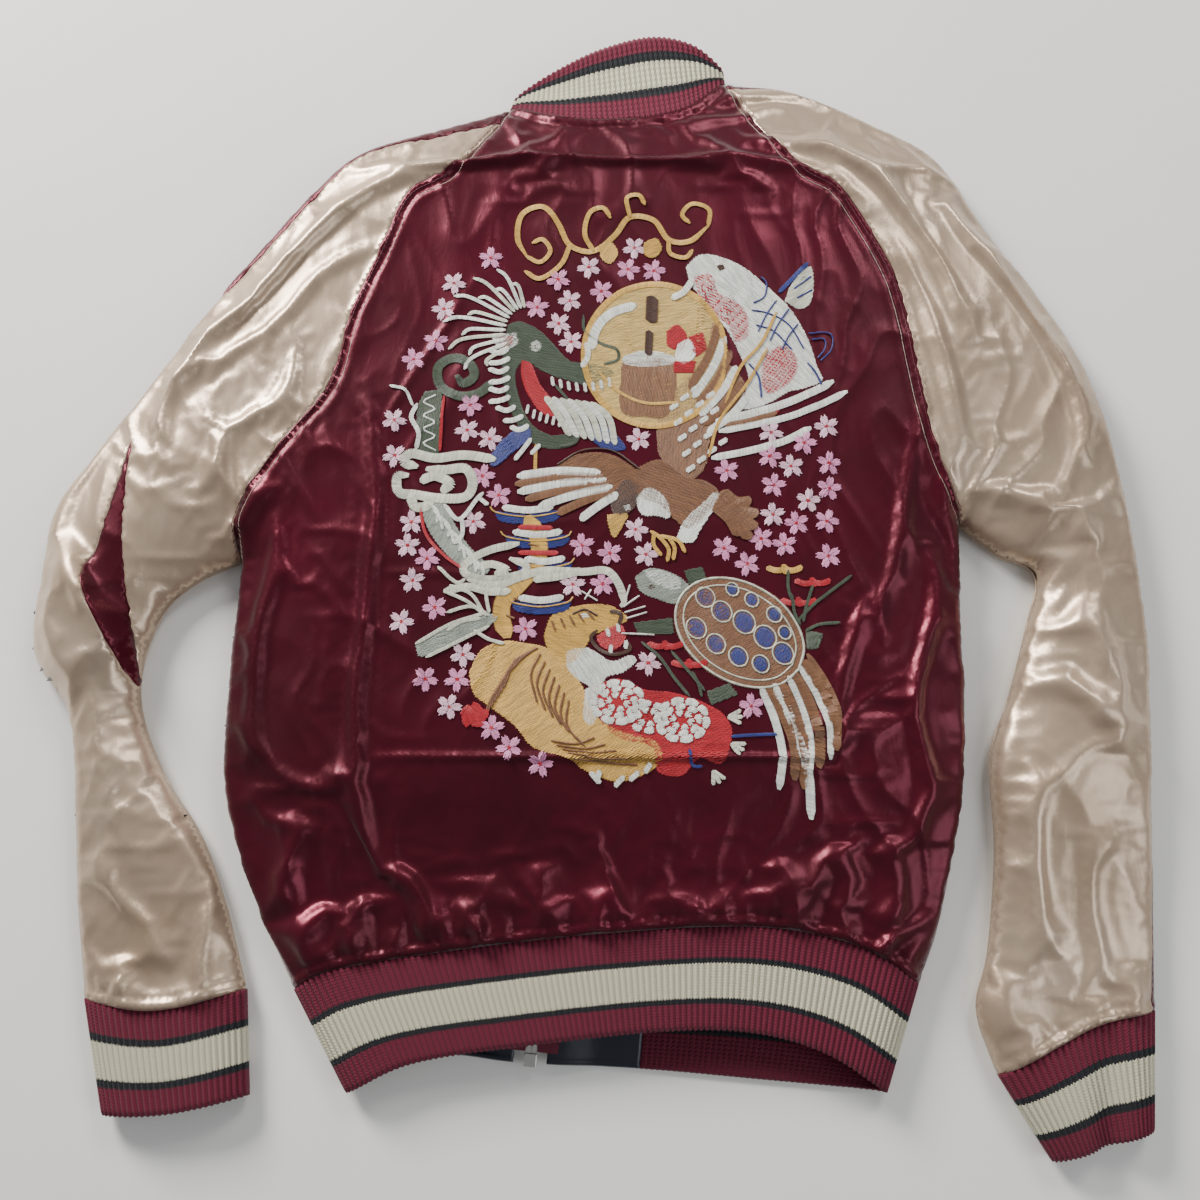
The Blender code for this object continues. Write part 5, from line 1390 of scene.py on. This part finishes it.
for p in (((330, 450), (270, 420), (190, 440)), ((320, 450), (250, 400), (180, 370)), ((310, 440), (270, 380),
        (200, 350)), ((330, 440), (320, 380), (330, 340)), ((300, 460), (240, 470), (190, 500)), ((280, 500), (330,
        530), (380, 545)), ((85, 545), (200, 480), (320, 440)), ((120, 590), (230, 535), (330, 485)), ((160, 290), (220,
        340), (250, 330))):
    beast.append(("line", "cream", 1.8, lower(*p)))
MOTIFS["embroidered_dragon"] = beast

# %% Pagoda
pagoda = [("line", "gold", 1.8, upper((486, 880), (484, 960), (488, 1010)))]
for x0, x1, y in ((350, 560, 118), (385, 590, 200), (425, 600, 290), (405, 595, 420)):
    pagoda.append(("fill", "blue", 3, lower((x0, y - 18), ((x0 + x1) / 2, y - 4), (x1, y - 18), (x1 - 14, y + 16), ((x0
            + x1) / 2, y + 26), (x0 + 20, y + 16))))
    pagoda.append(("line", "white", 3.6, lower((x0 + 26, y - 30), ((x0 + x1) / 2, y - 20), (x1 - 18, y - 30))))
    pagoda.append(("line", "gold", 1.0, lower((x0 - 16, y - 30), (x0 + 6, y - 12), ((x0 + x1) / 2, y + 2), (x1 - 6, y -
            12), (x1 + 14, y - 30))))
pagoda += [
    ("line", "red", 2.6, lower((430, 155), (540, 158))),
    ("line", "red", 2.6, lower((430, 240), (560, 242))),
]
MOTIFS["pagoda"] = pagoda

# %% The tiger
tiger = [
    ("line", "gold", 8.5, lower((460, 118), (495, 200), (490, 270), (430, 345), (378, 400), (372, 460), (390, 525))),
    ("fill", "gold", 35, lower((265, 640), (300, 570), (370, 538), (450, 545), (520, 560), (580, 600), (640, 690),
        (680, 780), (760, 835), (880, 870), (905, 930), (860, 975), (760, 1005), (650, 965), (600, 930), (480, 890),
        (420, 820), (330, 750), (280, 710))),
    ("fill", "gold", -20, lower((515, 520), (540, 455), (600, 425), (700, 412), (760, 430), (790, 465), (720, 495),
        (670, 520), (640, 570), (600, 610), (540, 590))),
    ("fill", "white", -60, lower((590, 570), (660, 560), (740, 605), (800, 585), (822, 600), (770, 640), (725, 650),
        (690, 690), (630, 665), (590, 625))),
    ("fill", "white", 80, lower((650, 700), (690, 690), (690, 780), (670, 815), (645, 790))),
    ("fill", "red", 50, lower((690, 520), (735, 490), (770, 480), (785, 530), (745, 565), (705, 550))),
    ("line", "dark brown", 1.8, lower((690, 500), (670, 525), (700, 565), (750, 580), (800, 565), (795, 540))),
    ("line", "dark brown", 2.2, lower((735, 435), (770, 445), (765, 480))),
    ("line", "dark brown", 1.4, lower((610, 445), (650, 430), (690, 450))),
    ("fill", "white", 0, lower((635, 445), (655, 440), (662, 455), (642, 460))),
    ("line", "white", 2.0, lower((725, 495), (730, 520))),
    ("line", "white", 2.0, lower((760, 480), (764, 505))),
    ("line", "white", 2.0, lower((735, 575), (738, 550))),
    ("line", "white", 2.2, lower((785, 560), (790, 535))),
]
for i in range(6):
    tiger.append(("line", "brown", 1.5, lower((455 + (8 if i < 3 else -14 * (i - 2)), 150 + i * 62), (500 - 6 * i if i
            < 3 else 440 - 26 * (i - 3), 160 + i * 58))))
for i in range(7):
    t = i / 6
    tiger.append(("line", "brown", 1.4, lower((490 - 12 * i, 560 + 6 * i), (420 - 14 * i, 600 + 22 * i), (380 - 12 * i
            + 10 * t, 690 + 16 * i))))
for i in range(7):
    tiger.append(("line", "brown", 1.4, lower((500 + 16 * i, 580 + 26 * i), (470 + 20 * i, 650 + 28 * i), (490 + 26 *
            i, 740 + 24 * i))))
for i in range(5):
    tiger.append(("line", "brown", 1.3, lower((540 + 18 * i, 870 + 14 * i), (620 + 30 * i, 880 + 16 * i), (680 + 36 *
            i, 860 + 22 * i))))
for i in range(5):
    tiger.append(("line", "brown", 1.2, lower((540 + 30 * i, 470 - 8 * i), (550 + 32 * i, 500 - 10 * i))))
for p in (((780, 420), (830, 385)), ((785, 440), (850, 420)), ((790, 460), (855, 440)), ((785, 400), (800,
        350)), ((775, 510), (880, 515)), ((690, 400), (640, 370)), ((650, 395), (670, 365))):
    tiger.append(("line", "white", 1.1, lower(*p)))
for p in (((670, 975), (700, 1010)), ((780, 990), (750, 1020)), ((830, 975), (800, 1000)), ((870, 945), (850,
        975)), ((700, 970), (690, 1000))):
    tiger.append(("line", "white", 2.6, lower(*p)))
MOTIFS["embroidered_tiger"] = tiger
(cx, cy) = (1168, 508)

def ell(a, b, rot, n=14, ox=0, oy=0):
    out = []
    for i in range(n):
        t = 2 * math.pi * i / n
        x, y = (a * math.cos(t), b * math.sin(t))
        out.append((cx + ox + x * math.cos(rot) - y * math.sin(rot), cy + oy + x * math.sin(rot) + y * math.cos(rot)))
    return out

turtle = []
for i, (bx, by, tx, ty, wd, c) in enumerate(((1240, 690, 1300, 1030, 4.0, "white"), (1262, 690, 1350, 1000, 5.0,
        "brown"), (1285, 680, 1410, 1130, 4.5, "white"), (1305, 670, 1385, 1030, 5.5, "brown"), (1330, 655, 1400, 990,
        3.4, "white"), (1352, 640, 1430, 960, 5.5, "brown"), (1370, 620, 1470, 930, 3.2, "white"), (1385, 600, 1488,
        900, 5.5, "brown"), (1395, 580, 1495, 850, 3.0, "brown"))):
    turtle.append(("line", c, wd, lower((bx, by), ((bx * 2 + tx) / 3 + 26, (by * 2 + ty) / 3), ((bx + tx * 2) / 3 + 30,
            (by + ty * 2) / 3), (tx, ty))))
turtle += [
    ("fill", "grey green", 20, lower((820, 320), (870, 292), (950, 315), (1000, 360), (965, 410), (900, 395), (840,
        370))),
    ("fill", "white", 10, lower((850, 300), (900, 298), (965, 330), (955, 365), (880, 340))),
    ("fill", "green", 0, lower((815, 475), (940, 458), (945, 510), (830, 512))),
    ("fill", "green", 30, lower((1060, 705), (1130, 678), (1160, 715), (1075, 748))),
    ("fill", "green", 50, lower((1390, 500), (1445, 515), (1430, 560), (1395, 560))),
    ("fill", "green", 0, lower((985, 300), (1040, 288), (1055, 330), (1000, 345))),
    ("fill", "dark brown", 0, lower((858, 350), (880, 346), (884, 358), (864, 362))),
    ("fill", "brown", 35, lower(*ell(235, 165, 0.55))),
    ("line", "cream", 1.5, lower(*ell(232, 162, 0.55) + ell(232, 162, 0.55)[:1])),
    ("line", "cream", 1.0, lower(*ell(205, 138, 0.55) + ell(205, 138, 0.55)[:1])),
]
for ox, oy, r in ((-115, -118, 28), (-60, -70, 30), (-145, -15, 30), (-80, 38, 28), (15, -35, 34), (40, -110,
        18), (85, 15, 34), (-5, 80, 28), (115, -60, 20), (145, 70, 32), (70, 105, 24), (150, 0, 16), (-25, -145, 16)):
    e = ell(r, r * 0.78, 0.9, 8, ox, oy)
    turtle.append(("fill", "blue", 65, lower(*e)))
    e = ell(r + 8, r * 0.78 + 8, 0.9, 9, ox, oy)
    turtle.append(("line", "cream", 1.0, lower(*e + e[:1])))
MOTIFS["embroidered_turtle"] = turtle

# %% Peonies
peony = [
    ("fill", "red", 15, lower((675, 690), (760, 662), (850, 700), (940, 708), (1040, 740), (1115, 785), (1140, 850),
        (1105, 945), (1030, 925), (975, 985), (895, 970), (880, 890), (780, 865), (720, 825), (690, 760))),
]
for px, py, rr in ((760, 740, 3), (975, 800, 3), (860, 790, 2)):
    for r in range(1, rr + 1):
        for k in range(4 + 2 * r):
            a = k / (4 + 2 * r) * 6.283 + r
            d = 26 * r
            p0 = (px + d * math.cos(a), py + d * 0.8 * math.sin(a))
            p1 = (px + (d + 6) * math.cos(a + 0.26), py + (d + 6) * 0.8 * math.sin(a + 0.26))
            p2 = (px + d * math.cos(a + 0.5), py + d * 0.8 * math.sin(a + 0.5))
            peony.append(("line", "white", 3.4, lower(p0, p1, p2)))
for k in range(5):
    a = k / 5 * 6.283
    peony.append(("line", "red", 6.0, lower((280, 780), (280 + 46 * math.cos(a), 785 + 38 * math.sin(a)))))
for x, y, a in ((1130, 790, 0.0), (1140, 880, 0.5), (1080, 970, 1.1)):
    for s in (-1, 0, 1):
        peony.append(("line", "cream", 2.0, lower((x, y), (x + 46 * math.cos(a + s * 0.5), y + 46 * math.sin(a + s *
                0.5)))))
peony += [
    ("line", "blue", 1.6, lower((1140, 855), (1220, 850), (1290, 848))),
    ("line", "blue", 1.6, lower((1000, 900), (1010, 950), (1040, 955))),
]
MOTIFS["embroidered_peonies"] = peony

# %% Grasses
grass = []
for x, y, c in ((1318, 296, "gold"), (1412, 340, "red"), (1365, 405, "red"), (920, 550, "red"), (1000, 612,
        "red")):
    for dx in (-1, 1):
        grass.append(("line", c, 3.0, lower((x, y), (x + 28 * dx, y + 4), (x + 58 * dx, y - 6))))
    grass.append(("line", c, 3.4, lower((x, y - 14), (x, y + 14))))
for p in (((1330, 300), (1330, 360), (1350, 420)), ((1412, 350), (1390, 420), (1380, 470)), ((1360, 470), (1420,
        410), (1540, 318)), ((1390, 500), (1440, 480), (1500, 475)), ((840, 540), (900, 590), (950, 660), (1000, 720)),
        ((940, 570), (1000, 640), (1050, 700)), ((1010, 640), (1030, 680), (1040, 720)), ((1370, 480), (1350, 440),
        (1340, 380))):
    grass.append(("line", "green", 1.6, lower(*p)))
MOTIFS["grasses"] = grass
# %% Cherry blossoms and loose petals
blossoms = []
taken = [shape for entries in MOTIFS.values() for _, _, _, shape in entries]
filled = [hatched(shape, 0, 6, 6)[:, :2] for entries in MOTIFS.values() for kind, _, _, shape in entries
          if kind == "fill" and np.ptp(shape[:, 0]) > 14]
taken = np.vstack([spaced(s, 5) for s in taken if len(s) > 1] + filled)
spots = []
for _ in range(5200):
    spot = chance.uniform((-132, -158), (168, 204))
    if abs((spot[0] - 14) / 142) ** 2.6 + abs((spot[1] - 34) / 178) ** 2.6 > 1:
        continue
    flower = len(spots) < 84
    need = 7 if flower else 5
    free = np.linalg.norm(taken - spot, axis=1).min() > need
    if free and all(np.linalg.norm(spot - s) > (15 if flower else 8) for s in spots) and len(spots) < 150:
        spots.append(spot)
        tint, turn = ("pale pink", "pink")[int(chance.random() < 0.6)], chance.uniform(0, 6.28)
        for k in range(5 if flower else 1):
            a = turn + k * 1.2566
            c, s = math.cos(a), math.sin(a)
            near, wide_at, tip = (1.4, 4.2, 7.4) if flower else (0.0, 2.0, 4.4)
            corner = [(near, -0.5), (wide_at, -2.1), (tip, -1.3), (tip - 0.9, 0), (tip, 1.3), (wide_at, 2.1),
                      (near, 0.5)]
            blossoms.append(("fill", tint if flower else "white", math.degrees(a),
                             np.array([spot + (x * c - y * s, x * s + y * c) for x, y in corner])))
        if flower:
            blossoms.append(("fill", "red", 0, spot + np.array([(-1, -1), (1, -1), (1, 1), (-1, 1)])))
MOTIFS["blossoms"] = blossoms
print(len(spots), "blossoms and petals")

# %% Sew the designs
NODE_OF = {"pagoda": "embroidered_dragon", "grasses": "embroidered_peonies", "blossoms": "embroidered_peonies"}
SLOT_OF = {"gold": "gold_thread", "pale gold": "pale_gold_thread", "white": "white_thread", "cream": "white_thread",
           "brown": "brown_thread", "dark brown": "brown_thread", "green": "green_thread", "grey green": "green_thread",
           "blue": "white_thread", "red": "red_thread", "pink": "red_thread", "pale pink": "white_thread"}
total = 0
for motif, entries in MOTIFS.items():
    sorted_by = {}
    for layer, (kind, colour, value, shape) in enumerate(entries):
        plan = hatched(shape, value) if kind == "fill" else stitched_line(shape, value)
        wide, clear = (0.95, 0.25) if kind == "fill" else (0.95 if value > 1.5 else max(value, 0.9), 0.6)
        clear += 0.5 * layer / len(entries)
        extra = np.full(len(plan), wide), np.full(len(plan), clear)
        sorted_by.setdefault(colour, []).append(np.column_stack([plan, *extra]))
    for colour, plans in sorted_by.items():
        plan = np.vstack(plans)
        total += len(plan)
        short = motif.replace("embroidered_", "")
        sewn(f"{short}_in_{colour.replace(' ', '_')}", plan[:, :5], plan[:, 5], plan[:, 6], THREADS[colour],
             SLOT_OF[colour] if motif != "embroidered_tiger" or colour != "gold" else "orange_thread",
             NODE_OF.get(motif, motif))
print(total, "embroidery stitches")

# %% Rows of topstitching beside the raglan seams
rows = {"maroon": [], "champagne": []}
for end, inward in (("l", 1), ("r", -1)):
    for colour, offset in (("maroon", 2.4 * inward), ("champagne", -2.4 * inward)):
        path = spaced(shifted(SEAM[f"raglan_{end}"], offset), 3.0)
        mid, d = (path[:-1] + path[1:]) / 2, path[1:] - path[:-1]
        size = np.linalg.norm(d, axis=1)
        rows[colour].append(np.column_stack([mid, d / size[:, None], size * 0.82]))
for colour, plans in rows.items():
    sewn(f"topstitching_in_{colour}", np.vstack(plans), 0.45, 0.12, THREADS[colour],
         f"{colour}_satin", "back_panel" if colour == "maroon" else "sleeve_back_left")

# %% [markdown]
# ## Inside and trimmings
#
# The lining hangs between the two layers. It is seen only through the hem's and the cuffs'
# mouths, so one plain sheet to each CAD node is enough, each a little inside the satin.
# %% Lining
LINING_INSET, LINING_DROP = 9.0, 9.0


def outside_height(plan):
    return on_top(plan)[0][:, 2]


def lining(name, outline, over, spacing=12):
    rim = np.vstack([outline, outline[:1]])
    co, tri = net([], [spaced(rim, 8)], spacing, [outline])
    tri = tri[line_distance(co[tri].mean(1), rim)[0] > LINING_INSET]
    z = np.maximum(outside_height(co) - LINING_DROP, 8.5) if over else np.full(len(co), 6.0)
    sheet = np.column_stack([co, z])
    return panel(name, sheet, [tuple(t) for t in tri], NAVY_SATIN, "navy_satin", 0.6, "laid", turned=not over,
                 node=name)


lining("lining_back", BACK_OUTLINE, True)
lining("lining_front_left", under_outlines["front_panel_left"], False)
lining("lining_front_right", under_outlines["front_panel_right"], False)
lining("lining_sleeve_left", SLEEVE_OUTLINE["l"], True)
lining("lining_sleeve_right", SLEEVE_OUTLINE["r"], True)


# %% Pocket welts and bags, labels and the hanging loop
def pad(name, corners, z, thickness, material, slot, node):
    """A small four-cornered piece of cloth at this height."""
    (a, b, c, d), cells = np.asarray(corners, float), 12
    u, v = np.meshgrid(np.linspace(0, 1, cells + 1), np.linspace(0, 1, cells + 1))
    u, v = u.ravel()[:, None], v.ravel()[:, None]
    flat = (a * (1 - u) + b * u) * (1 - v) + (d * (1 - u) + c * u) * v
    height = z(flat) if callable(z) else np.full(len(flat), z)
    wide = cells + 1
    own = [(r * wide + k, r * wide + k + 1, (r + 1) * wide + k + 1, (r + 1) * wide + k)
           for r in range(cells) for k in range(cells)]
    return panel(name, np.column_stack([flat, height]), own, material, slot, thickness, "laid", turned=True, node=node)


def corners(middle, size):
    (x, y), (w, h) = middle, size
    return [(x - w / 2, y - h / 2), (x + w / 2, y - h / 2), (x + w / 2, y + h / 2), (x - w / 2, y + h / 2)]


for side in ("left", "right"):
    pad(f"pocket_welt_{side}", welt_corners(side, 10.6, 68.6), 0.3, 1.4, MAROON_SATIN, "maroon_satin",
        f"pocket_welt_{side}")
    sign = -1 if side == "left" else 1
    bag = [np.array([np.interp(y, beside_zip(sign * o)[:, 1], beside_zip(sign * o)[:, 0]), y])
           for o, y in ((72, -190), (156, -190), (156, -30), (72, -30))]
    bag = bag if sign > 0 else [bag[1], bag[0], bag[3], bag[2]]
    pad(f"pocket_bag_{side}", bag, 2.6, 0.8, COTTON, "pocket_cotton", f"pocket_bag_{side}")


def beneath(gap):
    """Heights this far under the outside of the back."""
    return lambda plan: np.maximum(outside_height(plan) - gap, 7.2)


pad("size_label", corners((18, 254), (60, 24)), beneath(12.5), 0.5, LABEL_CLOTH, "woven_label", "size_label")
pad("care_label", corners((-200, -148), (32, 56)), beneath(12.5), 0.5, LABEL_CLOTH, "woven_label", "care_label")
pad("hanger_loop", corners((18, 278), (52, 10)), beneath(12.5), 0.8, NAVY_SATIN, "navy_satin", "hanger_loop")

# %% The zip keeps its exact CAD shape and gets its finishes
for obj in bpy.data.objects:
    if obj.name.startswith("zip_") and obj.type == "MESH":
        obj.data.materials.clear()
        obj.data.materials.append(TAPE_CLOTH if "tape" in obj.name else METAL)

# %% [markdown]
# ## Studio
#
# A plain pale floor, a large soft window light from the upper left, and weak fill. The camera
# looks almost straight down, tilted twelve degrees towards the collar.
# %% Floor
floor_stuff, n, surface = finish("pale floor", (0.70, 0.68, 0.64), 0.85)
place = n.add("ShaderNodeTexCoord").outputs["Object"]
grain = n.add("ShaderNodeTexNoise", {"Vector": place, "Scale": 9.0, "Detail": 4.0})
n.tree.links.new(mixed(n, grain.outputs["Fac"], (0.84, 0.82, 0.77), (0.89, 0.87, 0.83)), surface.inputs["Base Color"])
floor = mesh_object("floor", [(-3, -3, 0), (3, -3, 0), (3, 3, 0), (-3, 3, 0)], [(0, 1, 2, 3)], floor_stuff)
floor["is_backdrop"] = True


# %% Lights
def area_light(name, place, size, power, colour):
    data = bpy.data.lights.new(name, "AREA")
    data.size, data.energy, data.color = size, power, colour
    lamp = bpy.data.objects.new(name, data)
    bpy.context.scene.collection.objects.link(lamp)
    lamp.location = place
    lamp.rotation_euler = (-Vector(place)).to_track_quat("-Z", "Y").to_euler()


area_light("window", (-1.2, 1.5, 1.0), 0.7, 84, (1.0, 0.98, 0.95))
area_light("bounce", (1.6, -0.6, 1.4), 1.2, 13, (0.92, 0.96, 1.0))
area_light("overhead", (0.9, 1.7, 1.6), 0.7, 20, (1, 1, 1))
world = bpy.data.worlds.new("room")
bpy.context.scene.world = world
world.use_nodes = True
world.node_tree.nodes["Background"].inputs[0].default_value = (0.85, 0.88, 0.92, 1)
world.node_tree.nodes["Background"].inputs[1].default_value = 0.34

# %% Camera
lens = bpy.data.cameras.new("camera")
lens.lens = lens.sensor_width = 36
camera = bpy.data.objects.new("camera", lens)
bpy.context.scene.collection.objects.link(camera)
tilt, high = math.radians(11.7), 0.764
camera.location = (0.006, -0.031 - high * math.tan(tilt), high)
camera.rotation_euler = (tilt, 0, 0)
bpy.context.scene.camera = camera

# %% The size of everything shown, and finish
low, high_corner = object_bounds()
print("this box", [round(float(v), 4) for v in (*low, *high_corner)])
